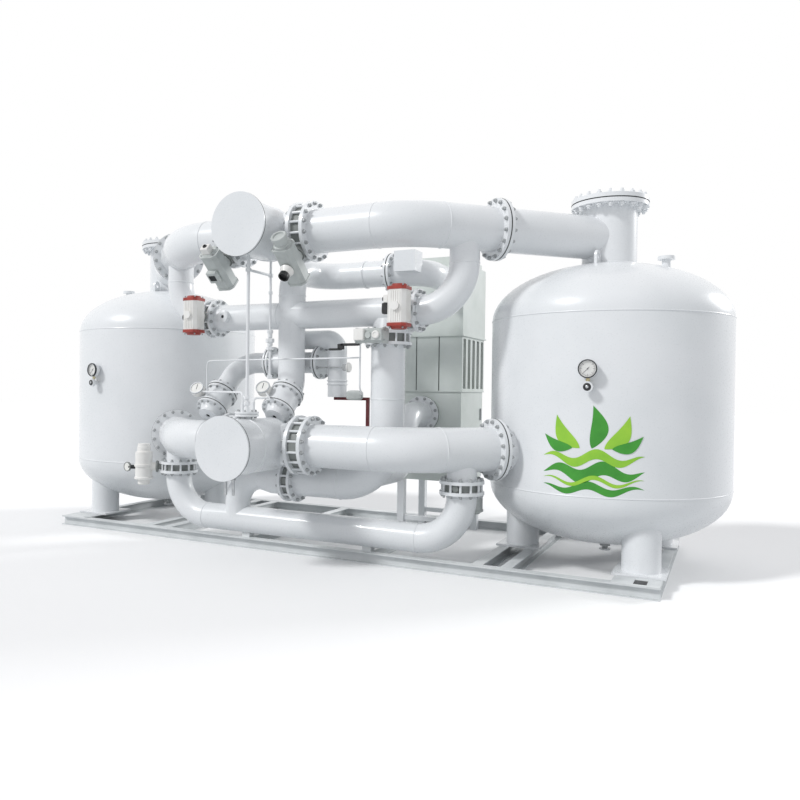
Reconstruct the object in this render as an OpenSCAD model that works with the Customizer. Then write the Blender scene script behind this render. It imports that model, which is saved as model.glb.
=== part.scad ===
// Twin-tower desiccant air dryer on a steel skid.
// X runs from the left tower to the right tower, Y to the back, Z up.
// The origin lies on the floor, at the middle of the skid's anchor bolts.

/* [Layout] */
// Distance between the two tower axes
tower_spacing = 5440; // [5300:10:5700]
// Distance of the manifold plane in front of the towers
manifold_y = 1470; // [1430:5:1520]
// Distance of the regeneration plane in front of the towers
regen_y = 1090; // [1075:5:1110]
// Place of the collecting drums along X
drum_x = -190; // [-220:5:-160]
// Height of the upper main pipe
upper_z = 3130; // [3100:5:3200]
// Height of the lower main pipe
lower_z = 1115; // [1100:5:1150]
// Height of the regeneration header
header_z = 2392; // [2370:1:2420]
// Height of the low regeneration pipe
low_pipe_z = 276; // [266:1:290]
// Height of the transfer pipe
transfer_z = 735; // [725:5:750]

/* [Towers] */
// Radius of the tower shell
tower_r = 1100; // [1080:5:1120]
// Wall of the tower shell
tower_wall = 14; // [10:1:20]
// Depth of the dished heads
head_depth = 550; // [530:5:570]
// Height of the lower head seam
seam_low_z = 770; // [760:5:790]
// Height of the upper head seam
seam_high_z = 2335; // [2300:5:2370]
// Height of the filling nozzle's flange face
nozzle_top_z = 3460; // [3420:5:3500]
// Outer diameter of the filling nozzle
nozzle_od = 508; // [500:1:520]
// Outer diameter of the filling nozzle's flange
nozzle_flange_od = 715; // [700:5:730]
// Thickness of the filling nozzle's flange
nozzle_flange_t = 42; // [36:1:48]
// Thickness of the blind covers
cover_t = 44; // [38:1:50]
// Radius on which the legs stand
leg_pitch_r = 800; // [780:5:820]
// Outer diameter of a leg
leg_od = 324; // [300:2:340]
// Wall of a leg
leg_wall = 10; // [8:1:14]
// Side of a leg's base plate
base_side = 430; // [420:5:450]
// Thickness of a leg's base plate
base_t = 20; // [16:1:30]
// Width of a lifting lug
lug_w = 110; // [100:1:120]
// Height of a lifting lug
lug_h = 120; // [110:1:140]
// Thickness of a lifting lug
lug_t = 25; // [20:1:32]
// Hole diameter of a lifting lug
lug_hole_d = 52; // [46:1:56]
// Height of the desiccant bed
bed_h = 1500; // [1400:10:1540]
// Thickness of the bed's support grid
grid_t = 40; // [30:1:50]

/* [Main pipe] */
// Outer diameter of the main pipe
main_od = 406.4; // [400:0.1:412]
// Wall of the main pipe
main_wall = 9.5; // [8:0.5:10]
// Outer diameter of a main flange
main_flange_od = 565; // [555:1:585]
// Thickness of a main flange
main_flange_t = 34; // [28:1:40]
// Radius of the main 45 degree bend
main_bend_r = 740; // [700:10:780]
// Distance of the main joint from the tower axis, along X
joint_offset = 865; // [850:5:880]
// Outer diameter of a collecting drum
drum_od = 508; // [500:1:520]
// Wall of a collecting drum
drum_wall = 10; // [8:1:14]
// Outer diameter of a drum's front cover
drum_cover_od = 580; // [570:1:600]
// Place of the upper drum's front cover
upper_cover_y = 2030; // [2000:5:2060]
// Place of the lower drum's front cover
lower_cover_y = 2230; // [2200:5:2260]
// Distance from a drum's axis to its valves
main_valve_offset = 405; // [400:1:420]
// Thickness of a drum's front cover
drum_cover_t = 20; // [14:1:30]

/* [Regeneration pipe] */
// Outer diameter of the regeneration pipe
regen_od = 273; // [266:1:280]
// Wall of the regeneration pipe
regen_wall = 8; // [6:0.5:9]
// Outer diameter of a regeneration flange
regen_flange_od = 405; // [395:1:415]
// Thickness of a regeneration flange
regen_flange_t = 28; // [24:1:30]
// Bend radius of the regeneration pipe
regen_bend_r = 410; // [395:1:415]
// Bend radius of the short elbows
short_bend_r = 300; // [285:5:310]
// Place of the header valves along X, from the middle
header_valve_x = 1150; // [1120:1:1155]
// Height of the low pipe's valves
low_valve_z = 778; // [770:1:790]
// Place of the tee between the low pipe and the transfer pipe
low_tee_x = -832; // [-850:1:-800]

/* [Transfer pipe] */
// Outer diameter of the transfer pipe
transfer_od = 324; // [318:1:330]
// Wall of the transfer pipe
transfer_wall = 8.5; // [7:0.5:10]
// Outer diameter of a transfer flange
transfer_flange_od = 450; // [440:1:460]
// Thickness of a transfer flange
transfer_flange_t = 28; // [24:1:32]
// Bend radius of the transfer pipe
transfer_bend_r = 480; // [460:5:490]
// Place of the riser along X
riser_x = 884; // [875:1:895]
// Height of the riser valve
riser_valve_z = 2140; // [2130:1:2150]
// Place of the transfer valve along X
transfer_valve_x = -145; // [-160:1:-120]

/* [Valves] */
// Width of a main valve body between its flanges
main_valve_w = 110; // [100:1:116]
// Width of a regeneration valve body
regen_valve_w = 68; // [60:1:76]
// Width of a transfer valve body
transfer_valve_w = 78; // [70:1:84]
// Radial play of a disc in its body
disc_play = 2; // [1:0.5:4]
// Radial play of a stem in its body
stem_play = 0.3; // [0.2:0.1:1]
// Tilt of the upper main valve stems, from straight down to the front
upper_stem_tilt = 42; // [35:1:50]

/* [Cooler] */
// Width of the cooler
cooler_w = 800; // [760:5:840]
// Depth of the cooler
cooler_d = 800; // [760:5:840]
// Place of the cooler's right side along X
cooler_right_x = 1150; // [1130:5:1180]
// Place of the cooler's front along Y
cooler_front_y = 300; // [280:5:320]
// Height of the cooler's underside
cooler_low_z = 640; // [630:5:670]
// Height of the ledge below the core
core_low_z = 1650; // [1630:5:1670]
// Height of the ledge above the core
core_high_z = 2255; // [2230:5:2280]
// Height of the hood's top
hood_top_z = 3145; // [3100:5:3190]
// Number of fin packs in the core
core_packs = 5; // [4:1:7]
// Height of the return pipe
return_z = 1384; // [1370:5:1395]
// Place of the return pipe along X
return_x = 690; // [680:5:700]
// Height of the rear pipe
rear_pipe_z = 2860; // [2850:5:2900]

/* [Skid] */
// Half length of the skid
skid_half_l = 3315; // [3300:5:3400]
// Half width of the skid
skid_half_w = 1200; // [1190:5:1240]
// Height and width of an H-beam
beam_h = 100; // [90:1:110]
// Flange thickness of an H-beam
beam_flange = 8; // [6:0.5:10]
// Web thickness of an H-beam
beam_web = 6; // [5:0.5:8]
// Distance between the anchor holes along X
anchor_x = 6200; // [6000:10:6300]
// Diameter of an anchor hole
anchor_d = 26; // [22:1:30]

/* [Hidden] */
$fn = 64;
fit_eps = 1;
seam_lap = 1;
seam_step = 0.6;
white = "#e9ebee";
mint = "#dfe8e1";
grey = "#a3a8a6";
red = "#b5372f";
maroon = "#6b2a33";
dark = "#3a3d40";
tower_x = tower_spacing / 2;
head_bands = 16;
main_r = main_od / 2;
main_bore = main_r - main_wall;
regen_r = regen_od / 2;
regen_bore = regen_r - regen_wall;
transfer_r = transfer_od / 2;
transfer_bore = transfer_r - transfer_wall;
nozzle_r = nozzle_od / 2;
nozzle_bore = nozzle_r - 10;
drum_r = drum_od / 2;
drum_bore = drum_r - drum_wall;
branch_x = tower_x - regen_y;
bend_reach = main_bend_r * tan(22.5);
leg_line = (manifold_y - joint_offset) * sqrt(2);
base_z = beam_h;
skid_rail_y = skid_half_w - beam_h / 2;
post_side = 90;
post_wall = 6;
// Each valve kind: bore radius, body radius, width, stem radius, neck reach, neck radius
main_valve = [main_bore + 2, 238, main_valve_w, 20, 335, 58];
regen_valve = [regen_bore, 158, regen_valve_w, 14, 245, 42];
transfer_valve = [transfer_bore, 182, transfer_valve_w, 16, 270, 46];
neck_plate_t = 18;
bracket_h = 34;
disc_t = 26;
// Each actuator kind: length, width, height, length of one end cap, chamfer
main_act = [430, 190, 170, 34, 38];
regen_act = [400, 176, 176, 52, 30];
small_act = [300, 130, 130, 24, 18];
low_act = [350, 150, 150, 40, 26];
low_act_drop = -115;
// Strainers: sizes, and the angle of both between straight down and the front
strainer_r = 150;
strainer_len = 245;
strainer_flange_r = 168;
strainer_flange_t = 34;
strainer_tilt = 45;
strainer_bend_r = 200;
collar_h = 40;
cap_h = 38;
cap_r = 100;
cap_flare = 22;
cap_hole_deep = 12;
dial_neck_r = 30;
dial_r = 52;
dial_h = 48;
cap_hole_r = 22;
dial_reach = 50;
right_dial_turn = 220;
left_dial_turn = 0;
drop_vertex_z = 1680;
drop_end_z = drop_vertex_z + strainer_bend_r * tan(strainer_tilt / 2);
// Crossover: place, size and the vertex above the left strainer
crossover_y = 830;
crossover_z = 1925;
crossover_end = 30;
cross_r = 109.5;
cross_wall = 6.5;
cross_flange_od = 340;
cross_flange_t = 26;
cross_bend_r = 230;
cross_joint_x = -560;
left_vertex_x = -1005;
left_drop_len = 245;
// The bypass leg: up from the crossover, along X and down to a blind end on a bracket
bypass_r = 97;
bypass_bend_r = 120;
bypass_start_x = -350;
bypass_leg_x = 200;
bypass_z = 2160;
bypass_end_z = 1572;
bypass_end_t = 16;
leg_arm = 30;
leg_post_x = 550;
leg_post_end_z = 850;
// The return pipe: its first run, its bends, the height of its low run and how near it comes to the riser's axis
return_run = 270;
return_bend_r = 260;
return_low_z = 830;
return_inset = 60;
gauge_z = 1845;
gauge_r = 78;
gauge_depth = 55;
gauge_stand = 30;
dial_recess = 16;
needle_zero = 135;
left_gauge_turn = 7.7;
right_gauge_turn = 0.5;

// General shapes

// A rectangle w by h about the origin with corners cut by c
function cut_rect(w, h, c) = [
    [-w / 2 + c, -h / 2], [w / 2 - c, -h / 2], [w / 2, -h / 2 + c], [w / 2, h / 2 - c],
    [w / 2 - c, h / 2], [-w / 2 + c, h / 2], [-w / 2, h / 2 - c], [-w / 2, -h / 2 + c]];

// A round rod of radius r along a route of straights [length] and bends [angle, roll, radius].
// A bend is an elbow fitting, thicker by seam_step, and the straights lap a little into it.
module route(steps, r, i = 0) {
    if (i < len(steps)) {
        s = steps[i];
        if (len(s) == 1) {
            back = i > 0 ? seam_lap : 0;
            ahead = i < len(steps) - 1 ? seam_lap : 0;
            translate([0, 0, -back]) cylinder(h = s[0] + back + ahead, r = r);
            translate([0, 0, s[0]]) route(steps, r, i + 1);
        } else {
            rotate([0, 0, s[1]]) {
                translate([s[2], 0, 0]) rotate([90, 0, 180])
                    rotate_extrude(angle = s[0]) translate([s[2], 0]) circle(r + seam_step);
                translate([s[2] * (1 - cos(s[0])), 0, s[2] * sin(s[0])])
                    rotate([0, s[0], 0]) rotate([0, 0, -s[1]]) route(steps, r, i + 1);
            }
        }
    }
}

// Puts children at the end of a route, with Z along it
module route_end(steps, i = 0) {
    if (i < len(steps)) {
        s = steps[i];
        if (len(s) == 1) {
            translate([0, 0, s[0]]) route_end(steps, i + 1) children();
        } else {
            rotate([0, 0, s[1]]) translate([s[2] * (1 - cos(s[0])), 0, s[2] * sin(s[0])])
                rotate([0, s[0], 0]) rotate([0, 0, -s[1]]) route_end(steps, i + 1) children();
        }
    } else {
        children();
    }
}

// The same route with its first and last straight made longer
function stretched(steps, extra) = [for (i = [0:len(steps) - 1])
    (i == 0 || i == len(steps) - 1) && len(steps[i]) == 1 ? [steps[i][0] + extra] : steps[i]];

// A rod along a route, running past both ends by extra
module long_route(steps, r, extra) { translate([0, 0, -extra]) route(stretched(steps, extra), r); }

module along_x() { rotate([0, 90, 0]) children(); }
module along_y() { rotate([-90, 0, 0]) children(); }
module both_sides() { children(); mirror([1, 0, 0]) children(); }
module on_side(side) { mirror([side < 0 ? 1 : 0, 0, 0]) children(); }

// A plain flange disc, lying from z = 0 up
module flange_disc(od, t) { cylinder(h = t, r = od / 2); }

// Skid

module h_beam(length) {
    e = beam_h / 2;
    w = beam_web / 2;
    f = beam_flange;
    linear_extrude(length) polygon([[-e, 0], [e, 0], [e, f], [w, f], [w, 2 * e - f], [e, 2 * e - f], [e, 2 * e],
        [-e, 2 * e], [-e, 2 * e - f], [-w, 2 * e - f], [-w, f], [-e, f]]);
}

// A beam that lies along X from x0, with its middle at y
module beam_along_x(x0, length, y) {
    translate([x0, y, 0]) rotate([90, 0, 90]) h_beam(length);
}

// A beam that lies along Y from y0, with its middle at x
module beam_along_y(x, y0, length) {
    translate([x, y0 + length, 0]) rotate([90, 0, 0]) h_beam(length);
}

module anchor_holes() {
    for (sx = [-1, 1], sy = [-1, 1])
        translate([sx * anchor_x / 2, sy * (skid_rail_y + beam_h / 4), -fit_eps])
            cylinder(h = beam_flange + 2 * fit_eps, d = anchor_d);
}

module skid_rails() {
    color(white) difference() {
        for (sy = [-1, 1]) beam_along_x(-skid_half_l, 2 * skid_half_l, sy * skid_rail_y);
        anchor_holes();
    }
}

// Middle lines of the cross beams: the ends, the pairs at the inner legs and the middle ones
function cross_beam_xs() = let (end = skid_half_l - beam_h / 2, inner = tower_x - leg_pitch_r)
    [end, inner + 130, inner - 130, 700];

module skid_cross_beams() {
    inner_y = skid_rail_y - beam_h / 2;
    color(white) both_sides() for (x = cross_beam_xs()) beam_along_y(x, -inner_y, 2 * inner_y);
}

module pipe_posts() {
    top = low_pipe_z - regen_r;
    color(white) for (x = [-700, 700])
        translate([x, -regen_y, 0]) difference() {
            translate([-post_side / 2, -post_side / 2, beam_h]) cube([post_side, post_side, low_pipe_z - beam_h]);
            translate([-post_side, 0, low_pipe_z]) along_x() cylinder(h = 2 * post_side, r = regen_r);
            translate([0, 0, beam_h - fit_eps]) linear_extrude(top)
                square(post_side - 2 * post_wall, center = true);
        }
}

// Towers

// Half outline of a vessel of radius r with dished heads of depth d
function vessel_outline(r, d) = concat(
    [for (i = [0:head_bands]) [r * sin(90 * i / head_bands), seam_low_z - d * cos(90 * i / head_bands)]],
    [for (i = [0:head_bands]) [r * cos(90 * i / head_bands), seam_high_z + d * sin(90 * i / head_bands)]]);

module vessel(r, d) { rotate_extrude($fn = 96) polygon(vessel_outline(r, d)); }

// The main connection of a tower: a pipe of radius r from the axis to the joint, 45 degrees to the front
module tower_branch(z, r, extra = 0) {
    translate([0, 0, z]) rotate([0, 0, -135]) along_x()
        cylinder(h = joint_offset * sqrt(2) + extra, r = r);
}

module tower_flange(z) {
    translate([0, 0, z]) rotate([0, 0, -135]) along_x()
        translate([0, 0, joint_offset * sqrt(2) - main_flange_t]) flange_disc(main_flange_od, main_flange_t);
}

lug_r = 330;
lug_root = 60;
vent_r = 560;
vent_tube_r = 38;

// Height of the head's outer surface at a distance from the axis
function head_z(q) = seam_high_z + head_depth * sqrt(1 - pow(q / tower_r, 2));

// Two plates on each upper head, cut to the head's surface, with a hole for a shackle
module lug_plate(turn) {
    top = lug_h - lug_w / 2;
    rotate([0, 0, turn]) translate([lug_r, 0, head_z(lug_r)]) rotate([90, 0, 0])
        translate([0, 0, -lug_t / 2]) linear_extrude(lug_t) difference() {
            union() {
                translate([-lug_w / 2, -lug_root]) square([lug_w, top + lug_root]);
                translate([0, top]) circle(lug_w / 2);
            }
            translate([0, top]) circle(d = lug_hole_d);
        }
}

module lifting_lugs() {
    color(white) both_sides() translate([tower_x, 0, 0]) difference() {
        for (turn = [-100, 80]) lug_plate(turn);
        vessel(tower_r, head_depth);
    }
}

module vent_nozzle() {
    rotate([0, 0, -20]) translate([vent_r, 0, head_z(vent_r) - 60]) {
        cylinder(h = 150, r = vent_tube_r);
        translate([0, 0, 120]) cylinder(h = 30, r = 75);
    }
}

module drain_nozzle() {
    translate([0, 0, seam_low_z - head_depth - 90]) {
        cylinder(h = 120, r = 24);
        cylinder(h = 16, r = 52);
    }
}

// The right-hand tower about its own axis; the left one is its mirror image
module tower_shell() {
    difference() {
        union() {
            vessel(tower_r, head_depth);
            translate([0, 0, seam_high_z]) cylinder(h = nozzle_top_z - seam_high_z, r = nozzle_r);
            translate([0, 0, nozzle_top_z - nozzle_flange_t]) flange_disc(nozzle_flange_od, nozzle_flange_t);
            for (z = [upper_z, lower_z]) {
                tower_branch(z, main_r);
                tower_flange(z);
            }
            vent_nozzle();
            drain_nozzle();
        }
        vessel(tower_r - tower_wall, head_depth - tower_wall);
        translate([0, 0, seam_high_z]) cylinder(h = nozzle_top_z, r = nozzle_bore);
        for (z = [upper_z, lower_z]) tower_branch(z, main_bore, fit_eps);
    }
}

module place_tower(side) { on_side(side) translate([tower_x, 0, 0]) children(); }

module left_tower_shell() { color(white) place_tower(-1) tower_shell(); }
module right_tower_shell() { color(white) place_tower(1) tower_shell(); }

module leg_foot() {
    translate([-base_side / 2, -base_side / 2, base_z]) cube([base_side, base_side, base_t]);
}

module tower_legs() {
    difference() {
        for (a = [-60, 60, 180]) translate([leg_pitch_r * cos(a), leg_pitch_r * sin(a), 0]) {
            leg_foot();
            translate([0, 0, base_z]) cylinder(h = seam_low_z - base_z, d = leg_od);
        }
        vessel(tower_r, head_depth);
        for (a = [-60, 60, 180]) translate([leg_pitch_r * cos(a), leg_pitch_r * sin(a), base_z + base_t])
            cylinder(h = seam_low_z, d = leg_od - 2 * leg_wall);
    }
}

module left_tower_legs() { color(white) place_tower(-1) tower_legs(); }
module right_tower_legs() { color(white) place_tower(1) tower_legs(); }

module fill_cover() {
    rim = 12;
    translate([0, 0, nozzle_top_z]) {
        cylinder(h = cover_t, r = nozzle_flange_od / 2);
        translate([0, 0, cover_t]) cylinder(h = rim, r1 = nozzle_r, r2 = nozzle_r - rim);
    }
}

module left_fill_cover() { color(white) place_tower(-1) fill_cover(); }
module right_fill_cover() { color(white) place_tower(1) fill_cover(); }

module desiccant_beds() {
    color("#d8d2c4") both_sides() translate([tower_x, 0, seam_low_z])
        cylinder(h = bed_h, r = tower_r - tower_wall);
}

// A disc with rings of square openings, under the bed
module bed_grids() {
    bars = 9;
    pitch = 2 * (tower_r - tower_wall) / bars;
    bar = 30;
    color(grey) both_sides() translate([tower_x, 0, seam_low_z - grid_t]) {
        difference() {
            cylinder(h = grid_t, r = tower_r - tower_wall - 6);
            translate([0, 0, -fit_eps]) cylinder(h = grid_t + 2 * fit_eps, r = tower_r - tower_wall - 50);
        }
        intersection() {
            cylinder(h = grid_t, r = tower_r - tower_wall - 20);
            for (i = [-4:4]) translate([i * pitch - bar / 2, -tower_r, 0]) cube([bar, 2 * tower_r, grid_t]);
        }
    }
}

// Collecting drums

// Distance from the drum's axis to a valve body's near face
drum_face = main_valve_offset - main_valve_w / 2;

// A drum along Y at height z from its cover at -cover_y to a closed rear end, with a flanged stub on each side
module drum(z, cover_y) {
    front = manifold_y - cover_y;
    translate([drum_x, -manifold_y, z]) difference() {
        union() {
            translate([0, front, 0]) along_y() cylinder(h = -front, r = drum_r);
            translate([-drum_face, 0, 0]) along_x() cylinder(h = 2 * drum_face, r = main_r);
            for (s = [0, 1]) mirror([s, 0, 0]) translate([drum_face - main_flange_t, 0, 0]) along_x()
                flange_disc(main_flange_od, main_flange_t);
        }
        translate([0, front - fit_eps, 0]) along_y() cylinder(h = fit_eps - front - drum_wall, r = drum_bore);
        translate([-drum_face - fit_eps, 0, 0]) along_x() cylinder(h = 2 * (drum_face + fit_eps), r = main_bore);
    }
}

module upper_drum() { color(white) drum(upper_z, upper_cover_y); }
module lower_drum() { color(white) drum(lower_z, lower_cover_y); }

module drum_cover(z, cover_y) {
    translate([drum_x, -cover_y - drum_cover_t, z]) along_y() cylinder(h = drum_cover_t, r = drum_cover_od / 2);
}

module upper_drum_cover() { color(white) drum_cover(upper_z, upper_cover_y); }
module lower_drum_cover() { color(white) drum_cover(lower_z, lower_cover_y); }

// Main spools

// Route from the main valve along X, round the bend and along the 45 degree line to the tower joint
function main_route(face) = [[tower_x - manifold_y - bend_reach - face], [45, 90, main_bend_r],
    [leg_line - bend_reach]];

// X of a main valve's outer face on one side, counted away from the middle
function valve_face(side) = side * drum_x + main_valve_offset + main_valve_w / 2;

module at_main_start(side, z) { translate([valve_face(side), -manifold_y, z]) along_x() children(); }
module at_branch() { translate([branch_x, -regen_y, 0]) children(); }

module main_spool_body(side, z, r, extra) {
    at_main_start(side, z) long_route(main_route(valve_face(side)), r, extra);
}

module main_spool_flanges(side, z) {
    at_main_start(side, z) {
        flange_disc(main_flange_od, main_flange_t);
        route_end(main_route(valve_face(side))) translate([0, 0, -main_flange_t])
            flange_disc(main_flange_od, main_flange_t);
    }
}

// Route of the regeneration branch: down from the main pipe, then round to the header valve
header_face = header_valve_x + regen_valve_w / 2;
upper_branch_route = [[upper_z - header_z - regen_bend_r], [90, 0, regen_bend_r],
    [branch_x - regen_bend_r - header_face]];

module at_upper_branch() { at_branch() translate([0, 0, upper_z]) rotate([180, 0, 180]) children(); }

module upper_spool(side) {
    on_side(side) difference() {
        union() {
            main_spool_body(side, upper_z, main_r, 0);
            main_spool_flanges(side, upper_z);
            at_upper_branch() {
                route(upper_branch_route, regen_r);
                route_end(upper_branch_route) translate([0, 0, -regen_flange_t])
                    flange_disc(regen_flange_od, regen_flange_t);
            }
        }
        main_spool_body(side, upper_z, main_bore, fit_eps);
        at_upper_branch() long_route(upper_branch_route, regen_bore, fit_eps);
    }
}

module lower_spool(side) {
    low_face = low_valve_z + regen_valve_w / 2;
    on_side(side) difference() {
        union() {
            main_spool_body(side, lower_z, main_r, 0);
            main_spool_flanges(side, lower_z);
            at_branch() translate([0, 0, low_face]) {
                cylinder(h = lower_z - low_face, r = regen_r);
                flange_disc(regen_flange_od, regen_flange_t);
            }
        }
        main_spool_body(side, lower_z, main_bore, fit_eps);
        at_branch() translate([0, 0, low_face - fit_eps]) cylinder(h = lower_z - low_face, r = regen_bore);
    }
}

module upper_left_spool() { color(white) upper_spool(-1); }
module upper_right_spool() { color(white) upper_spool(1); }
module lower_left_spool() { color(white) lower_spool(-1); }
module lower_right_spool() { color(white) lower_spool(1); }

// Regeneration pipes

// Route of the drop pipe below the header: down, then slanting to the front
drop_route = [[header_z - drop_end_z], [strainer_tilt, 180, strainer_bend_r], [strainer_flange_t]];
header_start = header_valve_x - regen_valve_w / 2;
riser_face = riser_valve_z + transfer_valve_w / 2;
rear_stub_top = 2590;
header_boss = [-924, 65, 45];

module at_drop() { translate([drum_x, -regen_y, header_z]) rotate([180, 0, 90]) children(); }

module header_rods(r, r_riser, extra) {
    translate([-header_start - extra, -regen_y, header_z]) along_x() cylinder(h = 2 * (header_start + extra), r = r);
    at_drop() long_route(drop_route, r, extra);
    translate([drum_x, -regen_y, header_z]) cylinder(h = rear_stub_top - header_z + extra, r = r);
    translate([riser_x, -regen_y, riser_face - extra]) cylinder(h = transfer_flange_t + 1 + extra, r = r_riser);
    translate([riser_x, -regen_y, riser_face + transfer_flange_t])
        cylinder(h = header_z - riser_face - transfer_flange_t - regen_r / 2, r1 = r_riser, r2 = r - 6);
}

module regen_header() {
    color(white) difference() {
        union() {
            header_rods(regen_r, transfer_r, 0);
            for (s = [0, 1]) mirror([s, 0, 0]) translate([header_start - regen_flange_t, -regen_y, header_z])
                along_x() flange_disc(regen_flange_od, regen_flange_t);
            translate([riser_x, -regen_y, riser_face]) flange_disc(transfer_flange_od, transfer_flange_t);
            at_drop() route_end(drop_route) translate([0, 0, -strainer_flange_t])
                cylinder(h = strainer_flange_t, r = strainer_flange_r);
            translate([header_boss[0], -regen_y, header_z]) rotate([90, 0, 0])
                cylinder(h = regen_r + header_boss[2], r = header_boss[1]);
        }
        header_rods(regen_bore, transfer_bore, fit_eps);
    }
}

low_pipe_face = low_valve_z - regen_valve_w / 2;
low_route = [[low_pipe_face - low_pipe_z - regen_bend_r], [90, 0, regen_bend_r],
    [2 * (branch_x - regen_bend_r)], [90, 0, regen_bend_r], [low_pipe_face - low_pipe_z - regen_bend_r]];
transfer_start = transfer_valve_x - transfer_valve_w / 2;
// Route from the low pipe up and round to the reducer before the transfer valve
tee_route = [[transfer_z - low_pipe_z - short_bend_r], [90, 0, short_bend_r]];
reducer_len = 140;
tee_inset = 4;
tee_run_end = low_tee_x + short_bend_r;

module low_pipe_rods(r, r_transfer, extra) {
    translate([-branch_x, -regen_y, low_pipe_face]) rotate([180, 0, 0]) long_route(low_route, r, extra);
    translate([low_tee_x, -regen_y, low_pipe_z]) route(tee_route, r - tee_inset);
    translate([tee_run_end, -regen_y, transfer_z]) along_x() {
        translate([0, 0, -seam_lap]) cylinder(h = reducer_len + seam_lap, r1 = r - tee_inset, r2 = r_transfer);
        translate([0, 0, reducer_len])
            cylinder(h = transfer_start - tee_run_end - reducer_len + extra, r = r_transfer);
    }
}

module low_regen_pipe() {
    color(white) difference() {
        union() {
            low_pipe_rods(regen_r, transfer_r, 0);
            for (s = [-1, 1]) translate([s * branch_x, -regen_y, low_pipe_face - regen_flange_t])
                flange_disc(regen_flange_od, regen_flange_t);
            translate([transfer_start - transfer_flange_t, -regen_y, transfer_z]) along_x()
                flange_disc(transfer_flange_od, transfer_flange_t);
        }
        low_pipe_rods(regen_bore, transfer_bore, fit_eps);
    }
}

transfer_end = transfer_valve_x + transfer_valve_w / 2;
riser_low_face = riser_valve_z - transfer_valve_w / 2;
riser_route = [[riser_x - transfer_bend_r - transfer_end], [90, 180, transfer_bend_r],
    [riser_low_face - transfer_z - transfer_bend_r]];

module at_riser() { translate([transfer_end, -regen_y, transfer_z]) along_x() children(); }

module transfer_riser() {
    color(white) at_riser() difference() {
        union() {
            route(riser_route, transfer_r);
            flange_disc(transfer_flange_od, transfer_flange_t);
            route_end(riser_route) translate([0, 0, -transfer_flange_t])
                flange_disc(transfer_flange_od, transfer_flange_t);
        }
        long_route(riser_route, transfer_bore, fit_eps);
    }
}

// Valves

// Puts children at a valve on a pipe along X, with the stem turned from straight down
module on_x_pipe(place, turn) { translate(place) along_x() rotate([0, 0, turn]) children(); }

// Puts children at a valve on a vertical pipe, with the stem turned from +X
module on_z_pipe(place, turn) { translate(place) rotate([0, 0, turn]) children(); }

// Places of all valves, with the stem's turn about the pipe
upper_places = [for (s = [-1, 1]) [drum_x + s * main_valve_offset, -manifold_y, upper_z]];
lower_places = [for (s = [-1, 1]) [drum_x + s * main_valve_offset, -manifold_y, lower_z]];
header_places = [for (s = [-1, 1]) [s * header_valve_x, -regen_y, header_z]];
low_places = [for (s = [-1, 1]) [s * branch_x, -regen_y, low_valve_z]];
riser_place = [riser_x, -regen_y, riser_valve_z];
transfer_place = [transfer_valve_x, -regen_y, transfer_z];
upper_turn = -upper_stem_tilt;
lower_turn = 90;
header_turn = -90;
low_turns = [212, 90];
riser_turn = 270;
transfer_turn = 90;

// A wafer body: ring about Z with a neck and a top plate along X and a foot boss opposite
module valve_body(v) {
    boss = v[1] + 18;
    difference() {
        union() {
            translate([0, 0, -v[2] / 2]) cylinder(h = v[2], r = v[1]);
            along_x() cylinder(h = v[4] - neck_plate_t, r = min(v[5], v[2] / 2 - 2));
            translate([v[4] - neck_plate_t, 0, 0]) along_x() cylinder(h = neck_plate_t, r = v[5] + 22);
            translate([-boss, 0, 0]) along_x() cylinder(h = boss, r = min(v[5], v[2] / 2 - 6));
        }
        translate([0, 0, -v[2] / 2 - fit_eps]) cylinder(h = v[2] + 2 * fit_eps, r = v[0]);
        translate([-v[1], 0, 0]) along_x() cylinder(h = v[1] + v[4] + fit_eps, r = v[3] + stem_play);
    }
}

// A disc across the bore with its stem along X
module valve_disc(v) {
    low_end = v[1] - 8;
    union() {
        translate([0, 0, -disc_t / 2]) cylinder(h = disc_t, r = v[0] - disc_play);
        translate([-v[0] * 0.7, 0, 0]) along_x() cylinder(h = v[0] * 1.4, r = v[3] + 12);
        translate([-low_end, 0, 0]) along_x() cylinder(h = low_end + v[4] - 6, r = v[3]);
    }
}

module upper_valve_bodies() { color(white) for (p = upper_places) on_x_pipe(p, upper_turn) valve_body(main_valve); }
module lower_valve_bodies() { color(white) for (p = lower_places) on_x_pipe(p, lower_turn) valve_body(main_valve); }
module header_valve_bodies() { color(white) for (p = header_places) on_x_pipe(p, header_turn) valve_body(regen_valve); }
module low_valve_bodies() {
    color(white) for (i = [0, 1]) on_z_pipe(low_places[i], low_turns[i]) valve_body(regen_valve);
}
module riser_valve_body() { color(white) on_z_pipe(riser_place, riser_turn) valve_body(transfer_valve); }
module transfer_valve_body() { color(white) on_x_pipe(transfer_place, transfer_turn) valve_body(transfer_valve); }

module upper_left_disc() { color(grey) on_x_pipe(upper_places[0], upper_turn) valve_disc(main_valve); }
module upper_right_disc() { color(grey) on_x_pipe(upper_places[1], upper_turn) valve_disc(main_valve); }
module lower_left_disc() { color(grey) on_x_pipe(lower_places[0], lower_turn) valve_disc(main_valve); }
module lower_right_disc() { color(grey) on_x_pipe(lower_places[1], lower_turn) valve_disc(main_valve); }
module header_left_disc() { color(grey) on_x_pipe(header_places[0], header_turn) valve_disc(regen_valve); }
module header_right_disc() { color(grey) on_x_pipe(header_places[1], header_turn) valve_disc(regen_valve); }
module low_left_disc() { color(grey) on_z_pipe(low_places[0], low_turns[0]) valve_disc(regen_valve); }
module low_right_disc() { color(grey) on_z_pipe(low_places[1], low_turns[1]) valve_disc(regen_valve); }
module riser_disc() { color(grey) on_z_pipe(riser_place, riser_turn) valve_disc(transfer_valve); }
module transfer_disc() { color(grey) on_x_pipe(transfer_place, transfer_turn) valve_disc(transfer_valve); }

// Actuators

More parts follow.
